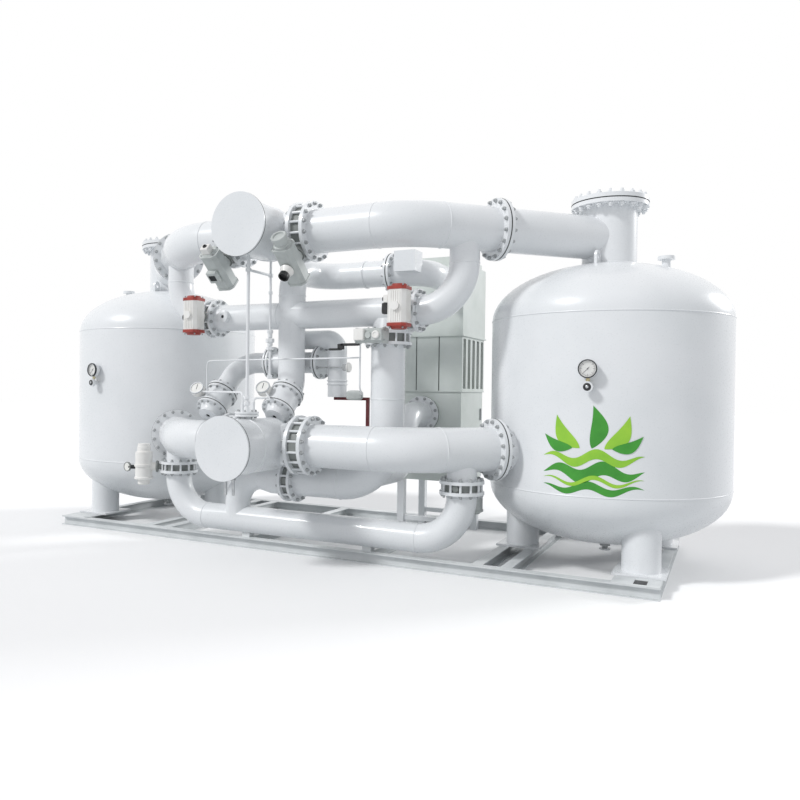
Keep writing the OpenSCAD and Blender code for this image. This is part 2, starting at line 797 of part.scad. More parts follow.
// A prism along Y of the actuator's section, from y0 with the given length
module act_prism(a, x, y0, length, grow) {
    translate([x, y0, 0]) rotate([-90, 0, 0]) linear_extrude(length)
        polygon(cut_rect(a[2] + 2 * grow, a[1] + 2 * grow, a[4]));
}

// An actuator that sits on a valve's top plate, long along Y and moved along it: a bracket and a body
module actuator_body(v, a, shift = 0) {
    base = v[4];
    middle = base + bracket_h + a[2] / 2;
    translate([base, 0, 0]) along_x() cylinder(h = bracket_h + fit_eps, r = v[5] + 8);
    act_prism(a, middle, shift - a[0] / 2 + a[3], a[0] - 2 * a[3], 0);
    translate([middle + a[2] / 2 - fit_eps, 0, 0]) along_x() cylinder(h = 26 + fit_eps, r = a[1] * 0.22);
}

// The two end caps: a plate a little larger than the body and a cone
module actuator_caps(v, a, shift = 0) {
    plate = a[3] * 0.55;
    middle = v[4] + bracket_h + a[2] / 2;
    translate([0, shift, 0]) for (s = [0, 1]) mirror([0, s, 0]) {
        act_prism(a, middle, a[0] / 2 - a[3], plate, 5);
        translate([middle, a[0] / 2 - a[3] + plate, 0]) rotate([-90, 0, 0])
            cylinder(h = a[3] - plate, r1 = a[1] * 0.46, r2 = a[1] * 0.38);
    }
}

module whole_actuator(v, a, shift = 0) {
    actuator_body(v, a, shift);
    actuator_caps(v, a, shift);
}

// The same actuator with its long side along the pipe
module turned_actuator(v, a, shift = 0) { rotate([90, 0, 0]) whole_actuator(v, a, shift); }

module upper_actuators() { color(grey) for (p = upper_places) on_x_pipe(p, upper_turn) whole_actuator(main_valve, main_act); }
module lower_actuators() { color(grey) for (p = lower_places) on_x_pipe(p, lower_turn) turned_actuator(main_valve, main_act); }
module header_actuators() {
    color(white) for (p = header_places) on_x_pipe(p, header_turn) actuator_body(regen_valve, regen_act);
}
module header_actuator_caps() {
    color(red) for (p = header_places) on_x_pipe(p, header_turn) actuator_caps(regen_valve, regen_act);
}
// The left low valve's actuator: an upright cylinder with a band round its middle
module left_low_actuator() {
    r = 107;
    h = 460;
    band_h = 64;
    reach = regen_valve[4] + 30 + r;
    color(white) on_z_pipe(low_places[0], low_turns[0]) {
        translate([regen_valve[4], 0, 0]) along_x() cylinder(h = 30 + r / 2, r = 46);
        translate([reach, 0, -h / 2]) cylinder(h = h, r = r);
        translate([reach, 0, -band_h / 2]) cylinder(h = band_h, r = r + 9);
        for (z = [-h / 2 - 22, h / 2]) translate([reach, 0, z]) cylinder(h = 22, r = r - 24);
    }
}
module right_low_actuator() {
    color(grey) on_z_pipe(low_places[1], low_turns[1]) turned_actuator(regen_valve, low_act, low_act_drop);
}
module transfer_actuators() {
    color(grey) {
        on_z_pipe(riser_place, riser_turn) whole_actuator(transfer_valve, small_act);
        on_x_pipe(transfer_place, transfer_turn) turned_actuator(transfer_valve, small_act);
    }
}

// Strainers and crossover

// A strainer body along Z: flange, barrel, collar with an end cap, and a dial stub on the side
module strainer(turn) {
    difference() {
        union() {
            cylinder(h = strainer_flange_t, r = strainer_flange_r);
            cylinder(h = strainer_len, r = strainer_r);
            translate([0, 0, strainer_len - collar_h]) cylinder(h = collar_h, r = strainer_flange_r);
            translate([0, 0, strainer_len]) cylinder(h = cap_h, r1 = cap_r + cap_flare, r2 = cap_r);
            translate([0, 0, strainer_len + cap_h]) cylinder(h = cap_h, r = cap_r);
            rotate([0, 0, turn]) translate([0, 0, strainer_len / 2]) along_x() {
                cylinder(h = strainer_r + dial_reach, r = dial_neck_r);
                translate([0, 0, strainer_r + dial_reach]) cylinder(h = dial_h, r = dial_r);
            }
        }
        translate([0, 0, -fit_eps]) cylinder(h = strainer_len - collar_h, r = strainer_r - 12);
        translate([0, 0, strainer_len + 2 * cap_h - cap_hole_deep]) cylinder(h = cap_h, r = cap_hole_r);
    }
}

module right_strainer() { color(white) at_drop() route_end(drop_route) strainer(right_dial_turn); }

// The crossover runs from its blind right end along -X, then bends down to the left strainer
cross_route = [[crossover_end - left_vertex_x - cross_bend_r], [90, 180 + strainer_tilt, cross_bend_r],
    [left_drop_len]];
bypass_run = bypass_leg_x - bypass_start_x - 2 * bypass_bend_r;
bypass_route = [[bypass_z - crossover_z - bypass_bend_r], [90, 0, bypass_bend_r], [bypass_run],
    [90, 0, bypass_bend_r], [bypass_z - bypass_bend_r - bypass_end_z]];

module at_crossover() { translate([crossover_end, -crossover_y, crossover_z]) rotate([0, -90, 0]) children(); }

module left_strainer() { color(white) at_crossover() route_end(cross_route) strainer(left_dial_turn); }

module at_bypass() { translate([bypass_start_x, -crossover_y, crossover_z]) children(); }

module crossover_pipe() {
    pair = cross_flange_t + 2;
    blind = 20;
    bore_steps = [[cross_route[0][0] - blind], cross_route[1], [left_drop_len + fit_eps]];
    color(white) difference() {
        union() {
            at_crossover() {
                route(cross_route, cross_r);
                for (z = [0, pair]) translate([0, 0, z]) flange_disc(cross_flange_od, cross_flange_t);
                for (z = [0, pair]) translate([0, 0, crossover_end - cross_joint_x + z])
                    flange_disc(cross_flange_od, cross_flange_t);
                route_end(cross_route) translate([0, 0, -strainer_flange_t])
                    cylinder(h = strainer_flange_t, r = strainer_flange_r);
            }
            at_bypass() route(bypass_route, bypass_r);
        }
        at_crossover() translate([0, 0, blind]) route(bore_steps, cross_r - cross_wall);
        at_bypass() route([bypass_route[0], bypass_route[1], bypass_route[2], bypass_route[3],
            [bypass_route[4][0] - bypass_end_t]], bypass_r - cross_wall);
    }
}

// A post on the return pipe with an arm that carries the blind end of the bypass leg
module leg_bracket() {
    arm_z = bypass_end_z - leg_arm;
    color(maroon) difference() {
        translate([0, -crossover_y - leg_arm / 2, 0]) {
            translate([bypass_leg_x - leg_arm, 0, arm_z])
                cube([leg_post_x + leg_arm / 2 - bypass_leg_x + leg_arm, leg_arm, leg_arm]);
            translate([leg_post_x - leg_arm / 2, 0, leg_post_end_z])
                cube([leg_arm, leg_arm, arm_z + leg_arm - leg_post_end_z]);
        }
        translate([return_x, -regen_y, return_low_z]) along_y() cylinder(h = regen_y, r = regen_r);
    }
}

// Cooler

cooler_left_x = cooler_right_x - cooler_w;
cooler_back_y = cooler_front_y + cooler_d;
ledge = 20;
sheet = 4;

module cooler_box(z0, z1, inset) {
    translate([cooler_left_x + inset, cooler_front_y + inset, z0])
        cube([cooler_w - 2 * inset, cooler_d - 2 * inset, z1 - z0]);
}

module cooler_plenum() {
    color(mint) difference() {
        union() {
            cooler_box(cooler_low_z, core_low_z - 12, 10);
            cooler_box(core_low_z - 12, core_low_z, -6);
            translate([return_x, cooler_front_y - 20, return_z]) along_y() cylinder(h = 40, r = regen_r);
            translate([return_x, cooler_front_y - 20, return_z]) along_y() flange_disc(regen_flange_od, regen_flange_t);
        }
        translate([return_x, cooler_front_y - 21, return_z]) along_y() cylinder(h = 60, r = regen_bore);
    }
}

// The core: fin packs with slots between them, open on the right-hand and left-hand sides
module cooler_core() {
    slot = 46;
    depth = 60;
    pitch = cooler_d / core_packs;
    color(mint) difference() {
        cooler_box(core_low_z, core_high_z, 0);
        for (i = [0:core_packs - 1], x = [cooler_left_x - 1, cooler_right_x - depth])
            translate([x, cooler_front_y + (i + 0.5) * pitch - slot / 2, core_low_z + 25])
                cube([depth + 1, slot, core_high_z - core_low_z - 50]);
        for (x = [270, 540]) translate([cooler_right_x - x - 6, cooler_front_y - 1, core_low_z])
            cube([12, 11, core_high_z - core_low_z]);
    }
}

module cooler_hood() {
    taper = 70;
    color(mint) {
        cooler_box(core_high_z, core_high_z + 14, -ledge);
        cooler_box(core_high_z + 14, hood_top_z - taper, -8);
        cooler_box(hood_top_z - taper, hood_top_z, 30);
    }
}

stand_leg = 80;
module cooler_stand() {
    color(white) {
        for (x = [cooler_left_x + 70, cooler_right_x - 70], y = [cooler_front_y + 70, cooler_back_y - 70])
            translate([x - stand_leg / 2, y - stand_leg / 2, 0]) cube([stand_leg, stand_leg, cooler_low_z]);
        for (y = [cooler_front_y + 70, cooler_back_y - 70])
            translate([cooler_left_x + 70, y - 25, 170]) cube([cooler_w - 140, 50, 50]);
    }
}

// Route of the return pipe: forward from the plenum, down, and forward into the riser's bend
return_front = cooler_front_y - 20;
return_route = [[return_run], [90, 0, return_bend_r], [return_z - return_low_z - 2 * return_bend_r],
    [90, 180, return_bend_r], [regen_y + return_front - return_run - 2 * return_bend_r - return_inset]];

module at_return() { translate([return_x, return_front, return_z]) rotate([90, 90, 0]) children(); }

module return_pipe() {
    color(white) difference() {
        at_return() union() {
            route(return_route, regen_r);
            flange_disc(regen_flange_od, regen_flange_t);
        }
        at_return() long_route(return_route, regen_bore, fit_eps);
        at_riser() route(riser_route, transfer_r);
    }
}

// Route of the rear pipe: up from the header, back, along X and back into the hood
rear_y = regen_y - 2 * short_bend_r;
rear_end_x = 1000;
rear_route = [[rear_pipe_z - rear_stub_top - short_bend_r + 60], [90, 90, short_bend_r - 60],
    [60], [90, 0, short_bend_r], [rear_end_x - drum_x - 2 * short_bend_r], [90, 180, short_bend_r],
    [cooler_front_y - 8 + rear_y - short_bend_r]];

// Along X: middle of the flange pair, and the box of the damper drive before the last bend
rear_joint_x = 655;
rear_band = [345, 20, 8];
rear_box = [756, -700, 2840, 228, 200, 208];

module at_rear_run(x) { translate([x, -rear_y, rear_pipe_z]) along_x() children(); }

module rear_pipe() {
    color(white) difference() {
        union() {
            translate([drum_x, -regen_y, rear_stub_top]) route(rear_route, regen_r);
            at_rear_run(rear_joint_x - regen_flange_t) flange_disc(regen_flange_od, regen_flange_t);
            at_rear_run(rear_joint_x + 1) flange_disc(regen_flange_od, regen_flange_t);
            at_rear_run(rear_band[0]) cylinder(h = rear_band[1], r = regen_r + rear_band[2]);
            translate([rear_box[0], rear_box[1], rear_box[2]]) cube([rear_box[3], rear_box[4], rear_box[5]]);
        }
        translate([drum_x, -regen_y, rear_stub_top]) long_route(rear_route, regen_bore, fit_eps);
    }
}

// Gauges

module place_gauge(side) {
    place_tower(side) rotate([0, 0, side < 0 ? left_gauge_turn : right_gauge_turn])
        translate([0, -tower_r, gauge_z]) rotate([90, 0, 0]) children();
}

module gauge_case() {
    difference() {
        union() {
            cylinder(h = gauge_stand, r = 22);
            translate([0, 0, gauge_stand]) cylinder(h = gauge_depth, r = gauge_r);
            translate([0, -150, 0]) cylinder(h = 2 * gauge_stand, r = 24);
            translate([0, -150, 2 * gauge_stand]) cylinder(h = gauge_stand, r = 46);
        }
        translate([0, 0, gauge_stand + gauge_depth - dial_recess]) cylinder(h = 2 * dial_recess, r = gauge_r - 8);
    }
}

module gauge_needle() {
    translate([0, 0, gauge_stand + gauge_depth - dial_recess + 0.4]) {
        cylinder(h = 6, r = 7);
        linear_extrude(3) polygon([[-3, -18], [3, -18], [1.2, gauge_r - 22], [-1.2, gauge_r - 22]]);
    }
}

module tower_gauges() { color(white) for (s = [-1, 1]) place_gauge(s) gauge_case(); }
module left_gauge_needle() { color(dark) place_gauge(-1) rotate([0, 0, -needle_zero]) gauge_needle(); }
module right_gauge_needle() { color(dark) place_gauge(1) rotate([0, 0, needle_zero]) gauge_needle(); }

skid_rails();
skid_cross_beams();
left_tower_shell();
right_tower_shell();
left_tower_legs();
right_tower_legs();
left_fill_cover();
right_fill_cover();
desiccant_beds();
bed_grids();
upper_drum();
lower_drum();
upper_drum_cover();
lower_drum_cover();
upper_left_spool();
upper_right_spool();
lower_left_spool();
lower_right_spool();
lifting_lugs();
regen_header();
low_regen_pipe();
transfer_riser();
upper_valve_bodies();
lower_valve_bodies();
header_valve_bodies();
low_valve_bodies();
riser_valve_body();
transfer_valve_body();
upper_left_disc();
upper_right_disc();
lower_left_disc();
lower_right_disc();
header_left_disc();
header_right_disc();
low_left_disc();
low_right_disc();
riser_disc();
transfer_disc();
upper_actuators();
lower_actuators();
header_actuators();
header_actuator_caps();
left_low_actuator();
right_low_actuator();
transfer_actuators();
right_strainer();
left_strainer();
crossover_pipe();
leg_bracket();
cooler_plenum();
cooler_core();
cooler_hood();
cooler_stand();
return_pipe();
rear_pipe();
tower_gauges();
left_gauge_needle();
right_gauge_needle();
pipe_posts();
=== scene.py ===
"""Looks of a twin-tower desiccant air dryer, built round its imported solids.

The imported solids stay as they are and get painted, cast or plated finishes. What a solid model leaves out is
added here: studs and nuts, gaskets, weld beads, dials, thin air tubes, fittings on the actuators and the printed
motif.
"""

import logging
import math
from dataclasses import dataclass, field
from enum import Enum
from typing import Sequence

import bpy
import numpy as np
from mathutils import Matrix


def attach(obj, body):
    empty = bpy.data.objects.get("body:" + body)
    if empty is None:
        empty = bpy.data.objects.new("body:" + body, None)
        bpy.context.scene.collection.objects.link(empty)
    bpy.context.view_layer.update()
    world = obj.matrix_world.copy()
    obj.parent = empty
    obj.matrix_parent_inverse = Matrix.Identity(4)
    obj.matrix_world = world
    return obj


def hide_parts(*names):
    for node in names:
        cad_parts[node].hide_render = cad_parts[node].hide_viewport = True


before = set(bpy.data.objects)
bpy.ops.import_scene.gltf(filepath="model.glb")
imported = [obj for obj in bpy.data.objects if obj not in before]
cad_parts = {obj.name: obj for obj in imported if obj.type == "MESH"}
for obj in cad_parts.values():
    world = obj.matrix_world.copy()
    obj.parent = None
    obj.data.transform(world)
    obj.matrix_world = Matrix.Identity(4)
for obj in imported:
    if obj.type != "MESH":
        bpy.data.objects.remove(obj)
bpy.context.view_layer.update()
LOG = logging.getLogger("dryer")

MM = 0.001
ROOT = "dryer"

Array = np.ndarray
Vec = Sequence[float]
Point = tuple[float, float, float]

# Directions of the dryer: X to the right, Y to the back.
ORIGIN, ALONG_X, ALONG_Y, UP, DOWN, FRONT = (0, 0, 0), (1, 0, 0), (0, 1, 0), (0, 0, 1), (0, 0, -1), (0, -1, 0)
SQUARE = np.eye(3)
DIAGONAL = math.sqrt(0.5)


class Side(Enum):
    """The two sides of the dryer, by the sign of X."""

    LEFT = -1
    RIGHT = 1


# Geometry


@dataclass
class Patch:
    """A piece of surface: corner points and four-cornered faces."""

    points: Array
    faces: Array


def unit(v: Vec) -> Array:
    """The direction of v, of length one."""
    a = np.asarray(v, float)
    return a / np.linalg.norm(a)


def square_to(axis: Vec) -> tuple[Array, Array]:
    """Two directions square to an axis and to each other.

    Args:
        axis: Any direction.

    Returns:
        Two unit vectors a and b, so that a, b and the axis make a right-handed set.
    """
    w = unit(axis)
    helper = np.array([0.0, 0.0, 1.0]) if abs(w[2]) < 0.9 else np.array([1.0, 0.0, 0.0])
    a = unit(np.cross(helper, w))
    return a, np.cross(w, a)


def arc(angles: Array, a: Array, b: Array) -> Array:
    """Directions at angles from a towards b, one row each."""
    return np.cos(angles)[:, None] * a + np.sin(angles)[:, None] * b


def around(steps: int) -> Array:
    """Angles of equal steps round a full turn."""
    return np.linspace(0.0, 2.0 * math.pi, steps, endpoint=False)


def grid_faces(rows: int, columns: int, wrap_rows: bool, wrap_columns: bool) -> Array:
    """Faces of a grid of points, row by row.

    Args:
        rows: Points along the first parameter.
        columns: Points along the second parameter.
        wrap_rows: Whether the last row joins the first.
        wrap_columns: Whether the last column joins the first.

    Returns:
        One row of four point numbers for each face.
    """
    i = np.arange(rows if wrap_rows else rows - 1)[:, None]
    j = np.arange(columns if wrap_columns else columns - 1)[None, :]
    i1, j1 = (i + 1) % rows, (j + 1) % columns
    quads = np.stack(np.broadcast_arrays(i * columns + j, i * columns + j1, i1 * columns + j1, i1 * columns + j), -1)
    return quads.reshape(-1, 4)


def turned(profile: Sequence[Vec], origin: Vec, axis: Vec, steps: int = 48, wrap: bool = False) -> Patch:
    """A profile carried round an axis.

    A profile point (radius, height) at angle t lies at origin + height times the axis + radius times
    (cos t times a + sin t times b), where a and b are square to the axis. A profile that isn't a ring is closed
    by a flat at both ends.

    Args:
        profile: Radius and height of each profile point, in metres, upwards along the outside.
        origin: Point on the axis at height zero.
        axis: Direction of the axis.
        steps: Number of angles.
        wrap: Whether the profile is a closed ring.

    Returns:
        The turned surface.
    """
    rz = np.asarray(profile, float)
    if not wrap:
        first, last = (end[end[:, 0] > 0] * (0, 1) for end in (rz[:1], rz[-1:]))
        rz = np.concatenate([first, rz, last])
    w = unit(axis)
    ring = arc(around(steps), *square_to(w))
    points = np.asarray(origin, float) + rz[:, None, 1:2] * w + rz[:, None, 0:1] * ring[None, :, :]
    return Patch(points.reshape(-1, 3), grid_faces(len(rz), steps, wrap, True))


def bead(origin: Vec, axis: Vec, radius: float, thick: float, steps: int = 72) -> Patch:
    """A round ring: a circle of radius thick carried round the axis at the given radius."""
    s = around(8)
    return turned(np.stack([radius + thick * np.cos(s), thick * np.sin(s)], -1), origin, axis, steps, True)


def swept(path: Array, radius: float, steps: int = 12) -> Patch:
    """A circle carried along a path, with flat ends.

    At each path point the circle lies in the plane square to the path's direction there, so a point is
    path + radius times (cos t times n + sin t times m). The ends shrink to the path itself.

    Args:
        path: Points of the path, in metres.
        radius: Radius of the circle.
        steps: Number of angles.

    Returns:
        The tube's surface.
    """
    p = np.asarray(path, float)
    tangent = np.gradient(p, axis=0)
    tangent /= np.linalg.norm(tangent, axis=1)[:, None]
    n = np.cross(tangent, np.array([0.31, 0.17, 0.93]))
    n /= np.linalg.norm(n, axis=1)[:, None]
    m = np.cross(tangent, n)
    t = around(steps)
    ring = np.cos(t)[None, :, None] * n[:, None, :] + np.sin(t)[None, :, None] * m[:, None, :]
    body = p[:, None, :] + radius * ring
    caps = [np.repeat(p[[k], None, :], steps, 1) for k in (0, -1)]
    points = np.concatenate([caps[0], body, caps[1]], 0)
    return Patch(points.reshape(-1, 3), grid_faces(len(p) + 2, steps, False, True))


def rounded_path(corners: Sequence[Vec], bend: float, points: int = 7) -> Array:
    """A path of straights with a rounded corner at each inner point.

    Each corner is replaced by a curve (1-t)^2 times its start + 2t(1-t) times the corner + t^2 times its end,
    where start and end lie a bend's length before and after the corner.

    Args:
        corners: Corner points, in metres.
        bend: Length taken off each side of a corner.
        points: Points on each curve.

    Returns:
        The points of the path.
    """
    c = np.asarray(corners, float)
    before = c[1:-1] + bend * np.apply_along_axis(unit, 1, c[:-2] - c[1:-1])
    after = c[1:-1] + bend * np.apply_along_axis(unit, 1, c[2:] - c[1:-1])
    t = np.linspace(0.0, 1.0, points)[None, :, None]
    curves = (1 - t) ** 2 * before[:, None] + 2 * t * (1 - t) * c[1:-1][:, None] + t**2 * after[:, None]
    return np.concatenate([c[:1], curves.reshape(-1, 3), c[-1:]], 0)


def block(centre: Vec, half: Vec, axes: Sequence[Vec], cut: float) -> Patch:
    """A box with chamfered edges along its third axis.

    Its section is an octagon: a rectangle with corners cut off by the given amount. Four sections of the
    octagon, the outer two drawn in by the cut, are joined along the third axis and closed at both ends.

    Args:
        centre: Middle of the box.
        half: Half sizes along the three axes.
        axes: Three directions square to each other, right-handed.
        cut: Size of the chamfer.

    Returns:
        The box's surface.
    """
    x, y, z = half
    a, b = x - cut, y - cut
    octagon = np.array([(a, -y), (x, -b), (x, b), (a, y), (-a, y), (-x, b), (-x, -b), (-a, -y)])
    drawn_in = 1.0 - cut / min(x, y)
    scale = np.array([0.0, drawn_in, 1.0, 1.0, drawn_in, 0.0])
    height = np.array([-z, -z, cut - z, z - cut, z, z])
    flat = octagon[None] * scale[:, None, None]
    frame3 = np.asarray(axes, float)
    points = np.asarray(centre, float) + flat @ frame3[:2] + height[:, None, None] * frame3[2]
    return Patch(points.reshape(-1, 3), grid_faces(6, 8, False, True))


def copies(patch: Patch, origins: Array, axes: Array) -> Patch:
    """A patch repeated at many places.

    Each copy's point is its origin + x, y and z of the patch's point times the copy's three axes.

    Args:
        patch: The shape, with its own X, Y and Z.
        origins: One row for each copy.
        axes: One 3 by 3 set of row vectors for each copy.

    Returns:
        All copies as one patch.
    """
    points = origins[:, None, :] + np.einsum("pk,nkd->npd", patch.points, axes)
    shift = np.arange(len(origins))[:, None, None] * len(patch.points)
    return Patch(points.reshape(-1, 3), (patch.faces[None] + shift).reshape(-1, patch.faces.shape[1]))


def joined(patches: Sequence[Patch]) -> Patch:
    """Several patches as one."""
    counts = np.cumsum([0] + [len(p.points) for p in patches[:-1]])
    return Patch(np.concatenate([p.points for p in patches]),
                 np.concatenate([p.faces + k for p, k in zip(patches, counts)]))


def hoop(inner: float, outer: float, low: float, high: float, origin: Vec, axis: Vec, steps: int = 96) -> Patch:
    """A ring of rectangular section between two radii and two heights."""
    return turned([(inner, low), (outer, low), (outer, high), (inner, high)], origin, axis, steps, True)


def brick(centre: Vec, half: Vec, cut: float) -> Patch:
    """A chamfered box square to the world."""
    return block(centre, half, SQUARE, cut)


def rod(start: Vec, axis: Vec, radius: float, length: float, edge: float = 0.0, steps: int = 32) -> Patch:
    """A round bar with an eased edge at both ends, closed at both ends."""
    e = edge if edge > 0 else 0.04 * radius
    return turned([(0.0, 0.0), (radius - e, 0.0), (radius, e), (radius, length - e), (radius - e, length),
                   (0.0, length)], start, axis, steps)


def ring_of(count: int, radius: float, origin: Vec, axis: Vec) -> tuple[Array, Array]:
    """Places and axes for shapes set round a circle.

    Args:
        count: Number of places.
        radius: Radius of the circle.
        origin: Its middle.
        axis: Its axis, which becomes each shape's Z.

    Returns:
        Origins, and axes with X outwards, Y along the circle and Z along the axis.
    """
    w = unit(axis)
    a, b = square_to(w)
    t = (np.arange(count) + 0.5) * 2.0 * math.pi / count
    out, along = arc(t, a, b), arc(t, b, -a)
    return np.asarray(origin, float) + radius * out, np.stack([out, along, np.broadcast_to(w, out.shape)], 1)


def pebble(centre: Vec, half: Vec, power: float, rows: int = 24, columns: int = 48) -> Patch:
    """A rounded box: a superellipsoid about a point.

    With c(t) the cosine and s(t) the sine, each raised to the power but keeping its sign, a point lies at
    half x times c(v) c(u), half y times c(v) s(u) and half z times s(v) from the centre, for u round the box
    and v from pole to pole.

    Args:
        centre: Middle of the box.
        half: Half sizes along X, Y and Z.
        power: One for an ellipsoid, near zero for a sharp box.
        rows: Steps from pole to pole.
        columns: Steps round the box.

    Returns:
        The surface.
    """
    def bent(a: Array) -> Array:
        """Each value raised to the power, with its sign kept."""
        return np.sign(a) * np.abs(a) ** power

    v = np.linspace(-math.pi / 2, math.pi / 2, rows)[:, None]
    u = around(columns)[None, :]
    flat = np.clip(np.cos(v), 0.0, 1.0)
    x, y = bent(flat) * bent(np.cos(u)), bent(flat) * bent(np.sin(u))
    z = np.broadcast_to(bent(np.sin(v)), x.shape)
    points = np.stack([x, y, z], -1) * np.asarray(half) + np.asarray(centre)
    return Patch(points.reshape(-1, 3), grid_faces(rows, columns, False, True))


# Finishes


def linear(hex_colour: str) -> tuple[float, float, float, float]:
    """The linear colour of an sRGB hex value, with an opacity of one."""
    c = np.array([int(hex_colour[k : k + 2], 16) for k in (1, 3, 5)]) / 255.0
    return (*np.where(c <= 0.04045, c / 12.92, ((c + 0.055) / 1.055) ** 2.4).tolist(), 1.0)


def add_node(tree: bpy.types.NodeTree, kind: str, settings: dict, inputs: dict) -> bpy.types.Node:
    """Adds a node to a tree.

    Args:
        tree: The node tree.
        kind: Blender's name of the node type.
        settings: Properties to set on the node.
        inputs: Input socket name or number, with a value or an output socket to link.

    Returns:
        The new node.
    """
    node = tree.nodes.new(kind)
    for key, value in settings.items():
        setattr(node, key, value)
    for key, value in inputs.items():
        if isinstance(value, bpy.types.NodeSocket):
            tree.links.new(value, node.inputs[key])
        else:
            node.inputs[key].default_value = value
    return node


@dataclass(frozen=True)
class Finish:
    """One surface finish: colour, gloss, slow colour drift and fine relief.

    Attributes:
        name: The material's name.
        colour: sRGB hex value of the surface.
        drift: sRGB hex value that the colour drifts towards in places.
        roughness: Middle roughness.
        metallic: One for bare metal.
        coat: Strength of a clear layer.
        texture: Size of the drift's patches, size of the fine relief and its height, in millimetres.
        opacity: Below one for clear glazing.
    """

    name: str
    colour: str
    drift: str
    roughness: float
    metallic: float = 0.0
    coat: float = 0.0
    texture: Point = (400.0, 12.0, 0.05)
    opacity: float = 1.0

    def material(self) -> bpy.types.Material:
        """The Blender material of this finish, made once.

        Returns:
            The material.
        """
        found = bpy.data.materials.get(self.name)
        if found is not None:
            return found
        made = bpy.data.materials.new(self.name)
        made.use_nodes = True
        tree = made.node_tree
        tree.nodes.clear()
        drift, grain, relief = (v * MM for v in self.texture)
        place = add_node(tree, "ShaderNodeTexCoord", {}, {}).outputs["Object"]
        slow = add_node(tree, "ShaderNodeTexNoise", {}, {
            "Vector": place, "Scale": 1.0 / drift, "Detail": 4.0, "Roughness": 0.55})
        mix = add_node(tree, "ShaderNodeValToRGB", {}, {"Fac": slow.outputs["Fac"]})
        mix.color_ramp.elements[0].position, mix.color_ramp.elements[1].position = 0.38, 0.72
        mix.color_ramp.elements[0].color = linear(self.colour)
        mix.color_ramp.elements[1].color = linear(self.drift)
        fine = add_node(tree, "ShaderNodeTexNoise", {}, {
            "Vector": place, "Scale": 1.0 / grain, "Detail": 3.0, "Roughness": 0.6})
        rough = add_node(tree, "ShaderNodeMapRange", {}, {
            "Value": fine.outputs["Fac"], "From Min": 0.3, "From Max": 0.7,
            "To Min": max(self.roughness - 0.05, 0.02), "To Max": self.roughness + 0.06})
        bump = add_node(tree, "ShaderNodeBump", {}, {
            "Height": fine.outputs["Fac"], "Strength": 0.6, "Distance": relief})
        shader = add_node(tree, "ShaderNodeBsdfPrincipled", {}, {
            "Base Color": mix.outputs["Color"], "Roughness": rough.outputs["Result"],
            "Metallic": self.metallic, "Coat Weight": self.coat, "Alpha": self.opacity,
            "Normal": bump.outputs["Normal"]})
        add_node(tree, "ShaderNodeOutputMaterial", {}, {"Surface": shader.outputs["BSDF"]})
        return made


# Two-pack enamel sprayed on steel: off-white, semi-gloss, with a slight orange-peel ripple. The ripple is
# drawn at 14 mm, coarser than the real 2 mm, so that it shows at this distance.
ENAMEL = Finish("white_enamel", "#eceef0", "#e4e7e9", 0.30, coat=0.25, texture=(700, 14, 0.10))
# The same enamel on the skid, a little dulled by dust.
SKID_ENAMEL = Finish("skid_enamel", "#dfe2e3", "#cfd3d4", 0.42, texture=(250, 12, 0.08))
# Grey hammer paint on die-cast actuator housings.
CAST_GREY = Finish("cast_grey_paint", "#c4c9c7", "#b5bab8", 0.42, texture=(90, 9, 0.25))
# Pale epoxy on extruded actuator cylinders.
CAST_WHITE = Finish("pale_epoxy", "#f4f3f0", "#eceae6", 0.34, coat=0.15, texture=(120, 10, 0.12))
# Red-brown epoxy on the actuator end caps.
CAP_RED = Finish("red_epoxy", "#a8392d", "#8f2c23", 0.36, coat=0.2, texture=(80, 9, 0.15))
# Powder coat on the cooler's sheet steel: pale grey-green, satin.
SHEET_COAT = Finish("mint_powder_coat", "#d9dfdb", "#cdd4cf", 0.45, texture=(350, 10, 0.12))
# Turned and brushed stainless steel.
STEEL = Finish("brushed_steel", "#b9bcbe", "#a3a7aa", 0.33, metallic=1.0, texture=(60, 8, 0.05))
# Zinc-plated studs and nuts: dull grey metal.
ZINC = Finish("zinc_plate", "#b4b7b8", "#9da0a2", 0.45, metallic=0.25, texture=(40, 8, 0.08))
# Grey epoxy on the valves' iron bodies, painted darker to stand for the shade between two flanges.
SHADED_IRON = Finish("valve_epoxy_painted_shade", "#8b8f8d", "#7b7f7d", 0.5, texture=(90, 9, 0.2))
# Compressed-fibre gasket: dark grey, matt.
GASKET = Finish("fibre_gasket", "#2c2f31", "#222527", 0.85, texture=(60, 6, 0.15))
# Moulded black plastic of knobs, ports and indicator cups; also the painted shade in the skid's corner opening.
BLACK = Finish("black_nylon", "#1c1d1f", "#26282a", 0.46, texture=(50, 6, 0.08))
# White printed dial card.
DIAL = Finish("dial_card", "#f2f2ee", "#ebebe6", 0.55, texture=(40, 6, 0.02))
# Blackened steel bezel of a gauge.
BEZEL = Finish("black_steel", "#3c3f43", "#2c2e31", 0.34, metallic=0.6, texture=(40, 6, 0.03))
# Brass of a gauge's stem, dulled to a pale straw.
BRASS = Finish("bare_brass", "#cfc6a4", "#b9ae88", 0.38, metallic=0.5, texture=(30, 6, 0.04))
# Maroon primer on the small bracket.
MAROON = Finish("maroon_primer", "#6a2429", "#571c21", 0.5, texture=(60, 8, 0.1))
# Clear window glass of a dial.
GLASS = Finish("dial_glass", "#ffffff", "#ffffff", 0.05, texture=(40, 6, 0.0), opacity=0.14)
# Activated alumina beads, seen only where a vessel is cut open.
BEADS = Finish("alumina_beads", "#e5dfd0", "#cfc7b4", 0.9, texture=(30, 8, 1.5))
# Black enamel of a gauge needle.
NEEDLE = Finish("needle_enamel", "#141414", "#1d1d1d", 0.5, texture=(20, 5, 0.01))
